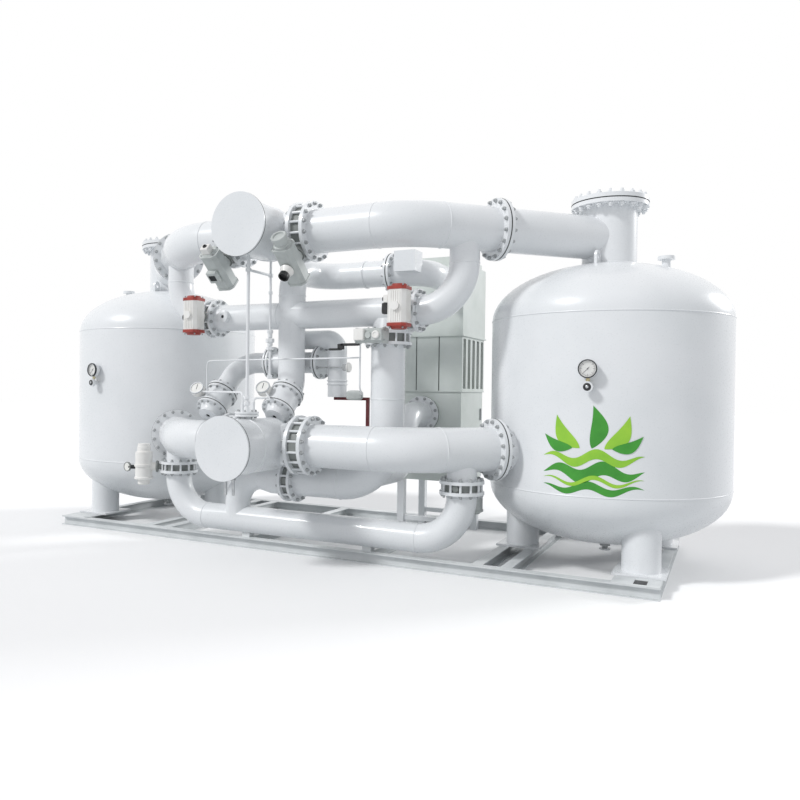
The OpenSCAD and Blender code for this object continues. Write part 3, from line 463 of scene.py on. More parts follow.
# Printed vinyl film in two greens: smooth and satin.
FILM_DEEP = Finish("deep_green_film", "#3f9a2f", "#2f8426", 0.5, coat=0.05, texture=(220, 12, 0.03))
FILM_LIGHT = Finish("light_green_film", "#9fd23c", "#7fbf33", 0.5, coat=0.05, texture=(260, 12, 0.03))
# Painted shade: dark sheets at the bottoms of the slots between the cooler's packs, along their mouths and in the
# front seams.
PAINTED_SLOT_SHADE = Finish("painted_slot_shade", "#4a4f4c", "#393d3b", 0.7, texture=(40, 8, 0.3))

NODE_FINISHES: dict[str, Finish] = {
    "skid_rails": SKID_ENAMEL, "skid_cross_beams": SKID_ENAMEL, "pipe_posts": SKID_ENAMEL,
    "upper_actuators": CAST_GREY, "lower_actuators": CAST_GREY, "right_low_actuator": CAST_GREY,
    "transfer_actuators": CAST_GREY, "header_actuators": CAST_WHITE, "left_low_actuator": CAST_WHITE,
    "header_actuator_caps": CAP_RED, "cooler_plenum": SHEET_COAT, "cooler_core": SHEET_COAT,
    "cooler_hood": SHEET_COAT, "bed_grids": STEEL, "desiccant_beds": BEADS,
    "leg_bracket": MAROON, "left_gauge_needle": NEEDLE, "right_gauge_needle": NEEDLE,
}

# Faces that meet at more than this angle stay apart: on the pieces made here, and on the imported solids.
PIECE_EDGE_DEG, NODE_EDGE_DEG = 38.0, 32.0
# Points nearer than this are one point.
MERGE = 0.05 * MM


def finish_of(node: str) -> Finish:
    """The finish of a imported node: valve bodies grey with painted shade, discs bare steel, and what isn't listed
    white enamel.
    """
    plain = STEEL if node.endswith("_disc") else NODE_FINISHES.get(node, ENAMEL)
    return SHADED_IRON if "_valve_bod" in node else plain


def smooth_with_edges(obj: bpy.types.Object, degrees: float) -> None:
    """Shades an object smooth but keeps edges sharper than the angle.

    Args:
        obj: The mesh object.
        degrees: Faces that meet at more than this stay apart.
    """
    obj.data.polygons.foreach_set("use_smooth", np.ones(len(obj.data.polygons), bool))
    weld = obj.modifiers.new("merge", "WELD")
    weld.merge_threshold = MERGE
    split = obj.modifiers.new("edges", "EDGE_SPLIT")
    split.split_angle = math.radians(degrees)
    split.use_edge_sharp = False


def make_piece(name: str, finish: Finish, *patches: Patch) -> bpy.types.Object:
    """Puts patches into one mesh object that rides on the dryer's body.

    Args:
        name: The piece's name.
        finish: Its finish.
        *patches: Surfaces of the piece.

    Returns:
        The new object, at the origin.
    """
    whole = joined(patches)
    mesh = bpy.data.meshes.new(name)
    mesh.from_pydata(whole.points.tolist(), [], whole.faces.tolist())
    mesh.validate()
    mesh.materials.append(finish.material())
    obj = bpy.data.objects.new(name, mesh)
    bpy.context.scene.collection.objects.link(obj)
    smooth_with_edges(obj, PIECE_EDGE_DEG)
    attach(obj, ROOT)
    LOG.info("%s: %d faces", name, len(mesh.polygons))
    return obj


def turn_piece(name: str, finish: Finish, origin: Vec, axis: Vec, profile: Sequence[Vec], steps: int = 48,
               wrap: bool = False) -> bpy.types.Object:
    """Makes a piece of one turned surface, with its profile in millimetres."""
    return make_piece(name, finish, turned(MM * np.asarray(profile), origin, axis, steps, wrap))


# Layout


@dataclass(frozen=True)
class Layout:
    """Places and sizes of the main parts, in metres, as in the solid model."""

    tower_x: float = 2.720
    tower_r: float = 1.100
    head_depth: float = 0.550
    seam_low_z: float = 0.770
    seam_high_z: float = 2.335
    nozzle_top_z: float = 3.460
    nozzle_r: float = 0.254
    manifold_y: float = -1.470
    regen_y: float = -1.090
    drum_x: float = -0.190
    drum_r: float = 0.254
    upper_z: float = 3.130
    lower_z: float = 1.115
    header_z: float = 2.392
    low_pipe_z: float = 0.276
    low_valve_z: float = 0.778
    transfer_z: float = 0.735
    riser_x: float = 0.884
    riser_valve_z: float = 2.140
    transfer_valve_x: float = -0.145
    header_valve_x: float = 1.150
    main_valve_offset: float = 0.405
    joint_offset: float = 0.865
    gauge_z: float = 1.845
    main_r: float = 0.2032
    main_bend: float = 0.740
    regen_r: float = 0.1365
    regen_bend: float = 0.410
    transfer_r: float = 0.162
    transfer_bend: float = 0.480

    @property
    def branch_x(self) -> float:
        """X of the regeneration branch on the right-hand side."""
        return self.tower_x + self.regen_y


PLAN = Layout()


@dataclass(frozen=True)
class FlangeKind:
    """A flange size, in millimetres.

    Attributes:
        od: Outer diameter.
        pcd: Diameter of the bolt circle.
        count: Number of studs.
        stud: Diameter of a stud.
        valve_seat: Distance from a valve's middle to the nuts' seats, where two of these flanges hold a valve.
    """

    od: float
    pcd: float
    count: int
    stud: float
    valve_seat: float = 0.0


MAIN_FLANGE = FlangeKind(565, 515, 16, 24, 89)
REGEN_FLANGE = FlangeKind(405, 355, 12, 22, 62)
TRANSFER_FLANGE = FlangeKind(450, 400, 12, 22, 67)
FILL_FLANGE = FlangeKind(715, 650, 20, 30)
CROSS_FLANGE = FlangeKind(340, 295, 8, 20)

# A gasket's half thickness, how far it stands out of the flanges' rim, and how far it reaches in.
GASKET_HALF, GASKET_PROUD, GASKET_DEPTH = 0.005, 0.0008, 0.01


@dataclass(frozen=True)
class Joint:
    """A bolted joint of two flanges, with a gasket or a valve between them.

    Attributes:
        middle: Middle of the joint.
        axis: Its axis.
        kind: Its flanges.
        plain_seat: Distance from the middle to the nuts' seats, or none where a valve is held.
    """

    middle: Point
    axis: Point
    kind: FlangeKind
    plain_seat: float | None = None

    @property
    def seat(self) -> float:
        """Distance from the middle to the nuts' seats."""
        return self.kind.valve_seat * MM if self.plain_seat is None else self.plain_seat


@dataclass
class BoltedJoints:
    """All studs, nuts and gaskets of the pipework."""

    joints: list[Joint] = field(default_factory=list)

    def collect(self) -> None:
        """Lists every joint from the layout, with the seats of those that hold no valve."""
        rows: list[tuple] = []
        for side in Side:
            s = side.value
            branch = (s * (PLAN.tower_x - PLAN.joint_offset), -PLAN.joint_offset)
            valve = PLAN.drum_x + s * PLAN.main_valve_offset
            for z in (PLAN.upper_z, PLAN.lower_z):
                rows += [((*branch, z), (s * DIAGONAL, DIAGONAL, 0), MAIN_FLANGE, 0.034),
                         ((valve, PLAN.manifold_y, z), ALONG_X, MAIN_FLANGE)]
            rows += [((s * PLAN.header_valve_x, PLAN.regen_y, PLAN.header_z), ALONG_X, REGEN_FLANGE),
                     ((s * PLAN.branch_x, PLAN.regen_y, PLAN.low_valve_z), UP, REGEN_FLANGE),
                     ((s * PLAN.tower_x, 0, PLAN.nozzle_top_z), UP, FILL_FLANGE, 0.043)]
        rows += [((PLAN.riser_x, PLAN.regen_y, PLAN.riser_valve_z), UP, TRANSFER_FLANGE),
                 ((PLAN.transfer_valve_x, PLAN.regen_y, PLAN.transfer_z), ALONG_X, TRANSFER_FLANGE),
                 ((0.690, 0.280, 1.384), ALONG_Y, REGEN_FLANGE, 0.028),
                 ((0.6555, -0.490, 2.860), ALONG_X, REGEN_FLANGE, 0.0285)]
        rows += [((x, -0.830, 1.925), ALONG_X, CROSS_FLANGE, 0.027) for x in (0.003, -0.587)]
        self.joints = [Joint(*row) for row in rows]

    @staticmethod
    def stud_end(d: float) -> Patch:
        """A hexagon nut with the end of its stud, along Z from its seat.

        Args:
            d: Stud diameter in metres.

        Returns:
            The nut and stud end, with its seat at z = 0.
        """
        nut_r, nut_h = 0.80 * d, 0.78 * d
        nut = turned([(nut_r * 0.9, 0.0), (nut_r, 0.1 * nut_h), (nut_r, 0.85 * nut_h), (nut_r * 0.84, nut_h),
                      (0.0, nut_h)], ORIGIN, UP, 6)
        stud = turned([(d / 2, nut_h * 0.9), (d / 2, nut_h + 0.42 * d), (d * 0.4, nut_h + 0.5 * d),
                       (0.0, nut_h + 0.5 * d)], ORIGIN, UP, 8)
        return joined([nut, stud])

    def studs(self, joint: Joint) -> tuple[list[Patch], Patch]:
        """The nuts on both sides of a joint, and the shanks of its studs between the flanges.

        Args:
            joint: The joint.

        Returns:
            The surfaces of the nuts and of the shanks.
        """
        d = joint.kind.stud * MM
        places, axes = ring_of(joint.kind.count, joint.kind.pcd / 2 * MM, joint.middle, joint.axis)
        rise = joint.seat * unit(joint.axis)
        turned_over = axes[:, [1, 0, 2]] * np.array([[1], [1], [-1]])
        shape = self.stud_end(d)
        shank = turned([(d / 2, -joint.seat), (d / 2, joint.seat)], ORIGIN, UP, 8)
        nuts = [copies(shape, places + rise, axes), copies(shape, places - rise, turned_over)]
        return nuts, copies(shank, places, axes)

    def build(self) -> None:
        """Makes the plated nuts, the painted nuts of the filling covers, the shanks and the gaskets."""
        self.collect()
        plated, painted, shanks, gaskets = [], [], [], []
        for joint in self.joints:
            nuts, between = self.studs(joint)
            (painted if joint.kind is FILL_FLANGE else plated).extend(nuts)
            shanks.append(between)
            r = joint.kind.od / 2 * MM
            if joint.plain_seat is not None:
                gaskets.append(hoop(r - GASKET_DEPTH, r + GASKET_PROUD, -GASKET_HALF, GASKET_HALF, joint.middle,
                                    joint.axis))
        make_piece("studs_and_nuts", ZINC, *plated)
        make_piece("cover_nuts", ENAMEL, *painted)
        make_piece("stud_shanks", ENAMEL, *shanks)
        make_piece("joint_gaskets", GASKET, *gaskets)


# Details


@dataclass
class Welds:
    """Weld beads, painted over with the vessel's enamel."""

    rings: list[Patch] = field(default_factory=list)

    def add(self, where: Vec, axis: Vec, radius: float, thick: float = 0.005) -> None:
        """Adds one bead round a pipe or vessel."""
        self.rings.append(bead(where, axis, radius, thick, 96))

    def bend(self, x: float, z: float, sign: int, radius: float, reach: float) -> None:
        """Adds the two beads of a bend from upright to level, a bend's reach away from its corner."""
        self.add((x, PLAN.regen_y, z + reach), UP, radius)
        self.add((x - sign * reach, PLAN.regen_y, z), ALONG_X, radius)

    def collect(self) -> None:
        """Lists the beads of towers, drums and bends."""
        reach = PLAN.main_bend * math.tan(math.radians(22.5))
        corner = PLAN.tower_x + PLAN.manifold_y
        head = PLAN.seam_high_z + PLAN.head_depth * math.sqrt(1 - (PLAN.nozzle_r / PLAN.tower_r) ** 2)
        for side in Side:
            s = side.value
            for z in (PLAN.seam_low_z, PLAN.seam_high_z):
                self.add((s * PLAN.tower_x, 0, z), UP, PLAN.tower_r - 0.001, 0.006)
            self.add((s * PLAN.tower_x, 0, head + 0.004), UP, PLAN.nozzle_r, 0.009)
            for z in (PLAN.upper_z, PLAN.lower_z):
                self.add((s * (corner - reach), PLAN.manifold_y, z), ALONG_X, PLAN.main_r)
                self.add((s * (corner + DIAGONAL * reach), PLAN.manifold_y + DIAGONAL * reach, z),
                         (s * DIAGONAL, DIAGONAL, 0), PLAN.main_r)
            for z in (PLAN.header_z, PLAN.low_pipe_z):
                self.bend(s * PLAN.branch_x, z, s, PLAN.regen_r, PLAN.regen_bend)
        for y, z in ((-1.560, PLAN.upper_z), (-1.925, PLAN.lower_z)):
            self.add((PLAN.drum_x, y, z), ALONG_Y, PLAN.drum_r, 0.007)
        self.add((PLAN.drum_x, PLAN.regen_y, 2.590), UP, PLAN.regen_r, 0.006)
        self.add((-0.310, PLAN.regen_y, PLAN.header_z), ALONG_X, PLAN.regen_r)
        self.bend(PLAN.riser_x, PLAN.transfer_z, 1, PLAN.transfer_r, PLAN.transfer_bend)
        self.add((PLAN.riser_x, PLAN.regen_y, 1.560), UP, PLAN.transfer_r)

    def build(self) -> None:
        """Makes the beads as one piece."""
        self.collect()
        make_piece("weld_beads", ENAMEL, *self.rings)


@dataclass(frozen=True)
class TowerGauge:
    """The dial, bezel and glass of one tower's pressure gauge, with the black cock below it.

    Attributes:
        side: Which tower.
        turn_deg: How far the gauge is turned out of the tower's front.
        dial_reach: Distance of the dial's card from the tower's axis; the stem and cock have their own.
        cock_drop: How far the cock lies below the dial's middle; the stem and its nut have their own.
        long_mark: Half sizes of a long mark, and long_r the radius on which it lies; a short one has its own.
    """

    side: Side
    turn_deg: float
    dial_reach: float = 1.1692
    stem_reach: float = 1.150
    cock_reach: float = 1.160
    cock_drop: float = 0.150
    stem_drop: float = 0.112
    nut_drop: float = 0.100
    long_mark: Point = (0.002, 0.009, 0.00006)
    long_r: float = 0.054
    short_mark: Point = (0.0012, 0.0055, 0.00006)
    short_r: float = 0.0575

    @property
    def face(self) -> Array:
        """Direction in which the dial looks."""
        t = math.radians(self.turn_deg)
        return np.array([self.side.value * math.sin(t), -math.cos(t), 0.0])

    def marks(self, dial: Array) -> list[Patch]:
        """The printed marks: 31 short ones over 270 degrees, and a long one at every fifth.

        Args:
            dial: Middle of the card.

        Returns:
            The surfaces of the long and of the short marks.
        """
        face = self.face
        out = arc(np.radians(np.linspace(-225.0, 45.0, 31)), np.cross(UP, face), np.asarray(UP))
        axes = np.stack([np.cross(out, face), out, np.broadcast_to(face, out.shape)], 1)
        on_card = dial + 0.0001 * face
        long, short = (brick(ORIGIN, half, 0.00002) for half in (self.long_mark, self.short_mark))
        return [copies(long, (on_card + self.long_r * out)[::5], axes[::5]),
                copies(short, on_card + self.short_r * out, axes)]

    def build(self) -> None:
        """Makes the gauge's pieces."""
        face, up = self.face, np.asarray(UP)
        foot = np.array([self.side.value * PLAN.tower_x, 0.0, PLAN.gauge_z])
        dial = foot + self.dial_reach * face
        name = self.side.name.lower()
        turn_piece(f"{name}_dial_card", DIAL, dial, face, [(70.6, -0.6), (70.6, 0), (0, 0)])
        make_piece(f"{name}_dial_marks", NEEDLE, *self.marks(dial))
        turn_piece(f"{name}_gauge_bezel", BEZEL, dial, face, [
            (70, -2), (77, -4), (78.5, 4), (78, 16), (75, 21), (70.5, 21), (69.5, 15)], 64, True)
        turn_piece(f"{name}_gauge_glass", GLASS, dial, face, [
            (70, 14.5), (70, 16.5), (0, 16.5), (0, 14.5)], 48, True)
        knob = foot + self.cock_reach * face - self.cock_drop * up
        turn_piece(f"{name}_gauge_cock", BLACK, knob, face, [
            (0, -4), (37, -4), (37, 22), (30, 36), (17, 39), (15, 34), (0, 33)], 32)
        turn_piece(f"{name}_gauge_cock_screw", STEEL, knob, face, [(13, 32), (13, 37.5), (9, 40), (0, 40.5)], 20)
        below = foot + self.stem_reach * face
        make_piece(f"{name}_gauge_stem", BRASS, rod(below - self.stem_drop * up, up, 0.013, 0.040),
                   rod(below - self.nut_drop * up, up, 0.019, 0.016, 0.0, 6))


@dataclass(frozen=True)
class Strainer:
    """The bolts, joints and dial of one strainer.

    Attributes:
        name: Name of the strainer.
        vertex: Point where its axis meets the pipe's.
        start: Distance along its axis from there to its flange.
        dial_way: Direction of the dial's stub.
        dial_face: Direction in which the dial looks.
        tilt_deg: Angle of its axis from straight down.
        flange_half: Half the thickness of its pair of flanges.
        cover_top: Distance along its axis from the flange to the cover's bolts.
        bolt_r: Radius of the flange's bolt circle; the cover has its own.
    """

    name: str
    vertex: Point
    start: float
    dial_way: Point
    dial_face: Point = (0.15, -0.80, 0.58)
    tilt_deg: float = 45.0
    flange_half: float = 0.034
    cover_top: float = 0.245
    bolt_r: float = 0.159
    cover_bolt_r: float = 0.146

    @property
    def way(self) -> Array:
        """Direction of the strainer, slanting down to the front."""
        t = math.radians(self.tilt_deg)
        return np.array([0.0, -math.sin(t), -math.cos(t)])

    def build(self) -> None:
        """Makes the strainer's pieces."""
        way = self.way
        foot = np.asarray(self.vertex) + self.start * way
        rings = ((self.flange_half, self.bolt_r, way), (-self.flange_half, self.bolt_r, -way),
                 (self.cover_top, self.cover_bolt_r, way))
        bolts = [copies(BoltedJoints.stud_end(0.016), *ring_of(12, radius, foot + seat * way, up))
                 for seat, radius, up in rings]
        make_piece(f"{self.name}_bolts", ZINC, *bolts)
        dark = [hoop(0.1655, 0.1692, g - w, g + w, foot, way) for g, w in ((0.0, 0.005), (0.222, 0.004))]
        plug = turned([(0.0, 0.0), (0.0205, 0.0), (0.0205, 0.006), (0.0, 0.006)], foot + 0.306 * way, way, 24)
        make_piece(f"{self.name}_joints", GASKET, *dark, plug)
        self.dial(foot + 0.1225 * way + 0.205 * unit(self.dial_way))

    def dial(self, hub: Array) -> None:
        """Makes the dial, turned to the front on its stub: a can, a rim, a card and a hand.

        Args:
            hub: Point on the stub round which the can is turned.
        """
        out = unit(self.dial_face)
        turn_piece(f"{self.name}_dial_can", CAST_WHITE, hub, out, [
            (0, -32), (40, -32), (60, -4), (72, 12), (72, 70), (0, 70)])
        turn_piece(f"{self.name}_dial_rim", STEEL, hub, out, [
            (60, 69), (73, 69), (74, 74), (72, 80), (62, 80)], 48, True)
        turn_piece(f"{self.name}_dial_card", DIAL, hub, out, [(61.5, 70), (61.5, 73.5), (0, 73.5)], 32)
        a, b = square_to(out)
        hand = block(hub + 0.0746 * out + 0.014 * b, (0.0028, 0.032, 0.0005), (a, b, out), 0.0002)
        make_piece(f"{self.name}_dial_hand", NEEDLE, hand)


@dataclass(frozen=True)
class AirLines:
    """Thin air tubes between drums, strainers and valves.

    Attributes:
        front_y: Y of the upright tube in front; the other one stands at back_y.
        bridge_z: Height of the tube between the two.
        off_axis: Distance of the upright tubes' ends from the drums' axes.
        front_r: Radius of the upright tube in front; the others have their own.
    """

    front_y: float = -1.865
    back_y: float = -1.492
    bridge_z: float = 2.742
    off_axis: float = 0.252
    front_r: float = 0.0155
    back_r: float = 0.012
    valve_r: float = 0.0075
    dial_r: float = 0.010

    def tubes(self) -> list[Patch]:
        """The tubes, straight ones first.

        Returns:
            Their surfaces.
        """
        x, front, back = PLAN.drum_x, self.front_y, self.back_y
        low, top = PLAN.upper_z - self.off_axis, PLAN.lower_z + self.off_axis
        straight = [((x, front, low), (x, front, top), 4, self.front_r),
                    ((x, back, low), (x, back, 1.745), 4, self.back_r),
                    ((x, front, self.bridge_z), (x, back, self.bridge_z), 3, self.back_r)]
        left_dial, right_dial = (-1.150, -1.364, 1.610), (-0.322, -1.374, 1.620)
        bent = [
            ([(-1.016, -1.400, 1.524), (-1.016, -1.400, 1.928), (0.640, -1.312, 1.948), (0.700, -1.300, 1.950)],
             0.05, self.valve_r),
            ([(0.690, -1.300, 2.080), (0.690, -1.300, 1.660), (0.600, -1.060, 1.606), (0.470, -0.850, 1.606)],
             0.06, self.valve_r),
            ([left_dial, (-0.70, -1.56, 1.610), (x - 0.07, front + 0.03, 1.610), (x - 0.07, front + 0.03, 1.430)],
             0.06, self.dial_r),
            ([(x + 0.07, front, 1.430), (x + 0.07, front, 1.560), (x + 0.09, -1.62, 1.560), right_dial],
             0.06, self.dial_r),
        ]
        return ([swept(np.linspace(start, end, count), radius, 16) for start, end, count, radius in straight]
                + [swept(rounded_path(corners, bend), radius) for corners, bend, radius in bent])

    def fittings(self) -> list[Patch]:
        """The fittings on the upright tubes: short bars, most of them hexagons.

        Returns:
            Their surfaces.
        """
        behind = ((2.185, 0.030, 0.030, 6), (2.140, 0.022, 0.050, 24), (2.095, 0.042, 0.038, 6),
                  (2.060, 0.026, 0.040, 24), (2.020, 0.036, 0.034, 6), (2.560, 0.020, 0.030, 6),
                  (1.742, 0.024, 0.040, 6))
        ahead = [(z, 0.027, 0.034, 6) for z in (self.bridge_z - 0.017, 1.490, 1.545)]
        rows = [(self.back_y, *row) for row in behind] + [(self.front_y, *row) for row in ahead]
        rows.append((self.back_y, self.bridge_z - 0.018, 0.024, 0.036, 6))
        return [rod((PLAN.drum_x, y, z), UP, r, h, 0.004, steps) for y, z, r, h, steps in rows]

    def build(self) -> None:
        """Makes the tubes, their fittings and the small flanged nozzle."""
        make_piece("air_tubes", ENAMEL, *self.tubes())
        make_piece("tube_fittings", ENAMEL, *self.fittings())
        x, y, z = PLAN.drum_x, self.front_y, PLAN.lower_z + self.off_axis
        flanges = turned(MM * np.array([
            (52, -20), (52, 20), (108, 22), (110, 24), (110, 40), (108, 42), (96, 42.5), (96, 46.5), (108, 47),
            (110, 49), (110, 65), (108, 67), (30, 68), (24, 110), (0, 110)]), (x, y, z), UP)
        stubs = [rod((x + 0.07, y, z + 0.06), UP, 0.017, 0.10, 0.002, 16),
                 rod((x - 0.07, y + 0.03, z + 0.06), UP, 0.017, 0.08, 0.002, 16)]
        make_piece("drum_nozzle", ENAMEL, flanges, *stubs)
        bolts = [copies(BoltedJoints.stud_end(0.014), *ring_of(8, 0.084, (x, y, z + seat), up))
                 for seat, up in ((0.067, UP), (0.022, DOWN))]
        make_piece("drum_nozzle_bolts", ZINC, *bolts)


# Profiles of a port with a sunk middle and of a knob with a dished one: share of its radius, height in millimetres.
PORT = np.array([(1, -6), (1, 10), (0.86, 14), (0.55, 13), (0.5, 4), (0, 3)])
KNOB = np.array([(1, -4), (1, 12), (0.86, 18), (0.62, 19), (0.5, 14), (0, 13)])


@dataclass(frozen=True)
class ValveDrive:
    """Fittings on one valve's actuator. Their places are counted from its middle, along stem, length and pipe.

    Attributes:
        name: Name of its pieces.
        middle: Middle of the valve.
        pipe: Direction of the pipe.
        stem: Direction of the stem.
        reach: Distance from the pipe's axis to the actuator's middle.
        size: Length, width and height of the actuator.
    """

    name: str
    middle: Point
    pipe: Point
    stem: Point
    reach: float
    size: Point

    def axes(self) -> tuple[Array, Array, Array]:
        """Directions of the stem, of the actuator's length and of the pipe."""
        p, s = unit(self.pipe), unit(self.stem)
        return s, np.cross(p, s), p

    def at(self, stem: float, length: float, pipe: float) -> Array:
        """The point in the world at a place on the actuator."""
        s, y, p = self.axes()
        return np.asarray(self.middle) + (self.reach + stem) * s + length * y + pipe * p

    def turn(self, label: str, finish: Finish, where: Vec, way: Vec, profile: Sequence[Vec], steps: int) -> None:
        """Makes a turned fitting that looks along a way in the world, with its profile in millimetres."""
        turn_piece(f"{self.name}_{label}", finish, self.at(*where), way, profile, steps)

    def box(self, label: str, finish: Finish, where: Vec, half: Vec, cut: float = 0.006) -> None:
        """Makes a small box with half sizes along stem, length and pipe."""
        make_piece(f"{self.name}_{label}", finish, block(self.at(*where), half, self.axes(), cut))

    def port(self, label: str, where: Vec, way: Vec, radius_mm: float) -> None:
        """Makes a round black port."""
        self.turn(label, BLACK, where, way, PORT * (radius_mm, 1), 32)

    def indicator(self) -> None:
        """Makes a position indicator on the outer face: a white collar and a black cup."""
        top, way = (self.size[2] / 2 + 0.020, 0, 0), self.axes()[0]
        self.turn("indicator_collar", CAST_WHITE, top, way, [
            (62, -6), (66, 4), (60, 18), (44, 40), (40, 52), (0, 52)], 40)
        self.turn("indicator_cup", BLACK, top, way, [
            (40, 50), (47, 56), (49, 94), (45, 99), (38, 97), (34, 70), (0, 66)], 40)

    def end_cup(self, sign: float) -> None:
        """Makes the round spring housing on one end of the length: a short cup with a stepped rim."""
        self.turn("end_cup", CAST_GREY, (0, sign * (self.size[0] / 2 - 0.004), 0), sign * self.axes()[1], [
            (84, 0), (84, 14), (68, 18), (68, 62), (74, 66), (74, 92), (70, 96), (52, 96), (48, 84), (0, 82)], 48)

    def end_screws(self, inset: float) -> None:
        """Makes the four screws in each end plate.

        Args:
            inset: Distance of a screw from the plate's edges.
        """
        s, y, p = self.axes()
        length, width, height = self.size
        patches = []
        for sign in (-1.0, 1.0):
            corners = np.array([self.at(a * (height / 2 - inset), sign * (length / 2 - 0.016),
                                        b * (width / 2 - inset)) for a in (-1, 1) for b in (-1, 1)])
            turn = np.stack([s, -sign * p, sign * y])
            patches.append(copies(BoltedJoints.stud_end(0.011), corners, np.broadcast_to(turn, (4, 3, 3))))
        make_piece(f"{self.name}_end_screws", ZINC, *patches)

    def ribs(self, count: int) -> None:
        """Makes narrow pale ribs along the outer face and both sides.

        Args:
            count: Ribs on each face.
        """
        s, y, p = self.axes()
        length, width, height = self.size
        half = length / 2 - 0.062
        steps = [float(k) for k in (np.arange(count) - (count - 1) / 2) / count]
        front = [block(self.at(height / 2, 0, k * (width - 0.07)), (0.0035, 0.006, half), (p, s, y), 0.002)
                 for k in steps]
        sides = [block(self.at(k * (height - 0.07), 0, q * width / 2), (0.006, 0.0035, half), (p, s, y), 0.002)
                 for k in steps for q in (-1.0, 1.0)]
        make_piece(f"{self.name}_ribs", CAST_WHITE, *front, *sides)


@dataclass(frozen=True)
class ValveFittings:
    """The fittings of the upper, header and riser valves.

    Attributes:
        upper_size: Length, width and height of the upper actuators.
        upper_reach: Distance from the pipe's axis to their middle.
        upper_tilt_deg: Angle of their stems from straight down, to the front.
    """

    upper_size: Point = (0.430, 0.190, 0.170)
    upper_reach: float = 0.454
    upper_tilt_deg: float = 42.0
    header_size: Point = (0.400, 0.176, 0.176)
    header_reach: float = 0.367
    riser_size: Point = (0.300, 0.130, 0.130)
    riser_reach: float = 0.369

    def build(self) -> None:
        """Makes the fittings of all these valves, and the black lever beside the riser."""
        tilt = math.radians(self.upper_tilt_deg)
        down_front, left = (0.0, -math.sin(tilt), -math.cos(tilt)), (-1, 0, 0)
        for side in Side:
            name = side.name.lower()
            place = (PLAN.drum_x + side.value * PLAN.main_valve_offset, PLAN.manifold_y, PLAN.upper_z)
            drive = ValveDrive(f"upper_{name}", place, ALONG_X, down_front, self.upper_reach, self.upper_size)
            drive.end_screws(0.030)
            if side is Side.RIGHT:
                drive.end_cup(-1.0)
                drive.indicator()
            else:
                drive.box("switch", CAST_GREY, (0.108, 0.010, -0.010), (0.026, 0.062, 0.058))
                drive.box("switch_window", GASKET, (0.135, 0.010, -0.010), (0.003, 0.030, 0.036), 0.002)
                drive.box("pilot", CAST_WHITE, (0.020, -0.246, 0.0), (0.040, 0.034, 0.046))
                drive.port("pilot_port", (0.020, -0.278, 0.0), -drive.axes()[1], 20)
            place = (side.value * PLAN.header_valve_x, PLAN.regen_y, PLAN.header_z)
            drive = ValveDrive(f"header_{name}", place, ALONG_X, FRONT, self.header_reach, self.header_size)
            drive.ribs(5)
            if side is Side.LEFT:
                drive.port("port", (0.030, 0.020, -0.088), left, 34)
            else:
                drive.box("coil", BLACK, (0.020, 0.015, -0.118), (0.036, 0.048, 0.030))
                drive.box("coil_base", CAST_WHITE, (0.020, -0.070, -0.112), (0.034, 0.036, 0.024))
                drive.port("coil_port", (0.020, -0.070, -0.136), left, 22)
            drive.end_screws(0.026)
        place = (PLAN.riser_x, PLAN.regen_y, PLAN.riser_valve_z)
        drive = ValveDrive("riser", place, UP, FRONT, self.riser_reach, self.riser_size)
        drive.end_screws(0.022)
        drive.box("terminal_box", CAST_WHITE, (0.084, -0.085, 0.006), (0.022, 0.050, 0.054))
        drive.box("dial_frame", CAST_GREY, (0.078, 0.085, 0.002), (0.016, 0.054, 0.056))
        drive.turn("dial", CAST_WHITE, (0.094, 0.085, 0.002), FRONT, KNOB * (36, 1), 32)
        lever = [brick((x, -1.440, z), (half_x, 0.016, half_z), 0.003) for x, z, half_x, half_z in (
            (0.655, 2.064, 0.095, 0.012), (0.560, 2.046, 0.030, 0.026), (0.500, 2.022, 0.065, 0.010))]
        make_piece("riser_lever", BLACK, *lever)


@dataclass(frozen=True)
class BottleDrive:
    """The bottle-shaped actuator of the low left valve, with a regulator's dial on a stub at its left side."""

    middle: Point = (-1.954, -1.292, 0.778)
    valve: Point = (-1.630, -1.090, 0.778)
    side: Point = (-0.96, -0.28, 0.0)
    dial_face: Point = (-0.12, -0.99, 0.0)

    def build(self) -> None:
        """Makes the bottle, which stands for the plain solid one, and the regulator."""
        middle = np.asarray(self.middle)
        bottle = turned(MM * np.array([
            (0, -198), (56, -198), (64, -190), (64, -150), (86, -142), (101, -136), (101, -116), (92, -110),
            (92, -2), (103, 2), (103, 26), (92, 30), (92, 160), (80, 164), (72, 170), (72, 218), (66, 222),
            (66, 248), (62, 252), (0, 252)]), middle, UP, 56)
        way = unit(np.asarray(self.valve) - middle)
        shell = make_piece("low_left_bottle", CAST_WHITE, bottle, rod(middle + 0.070 * way, way, 0.046, 0.080, 0.003))
        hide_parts("left_low_actuator")
        side, face = unit(self.side), unit(self.dial_face)
        foot = middle + (0.0, 0.0, -0.010)
        make_piece("low_left_regulator", GASKET, rod(foot + 0.086 * side, side, 0.022, 0.090, 0.003, 24))
        hub = foot + 0.196 * side
        turn_piece("low_left_dial_rim", SHADED_IRON, hub, face, [
            (0, -22), (40, -22), (51, -14), (53, 4), (50, 10), (45, 10), (44, 5)], 40)
        turn_piece("low_left_dial_card", DIAL, hub, face, [(44.5, 4.5), (44.5, 6.2), (0, 6.2)], 32)


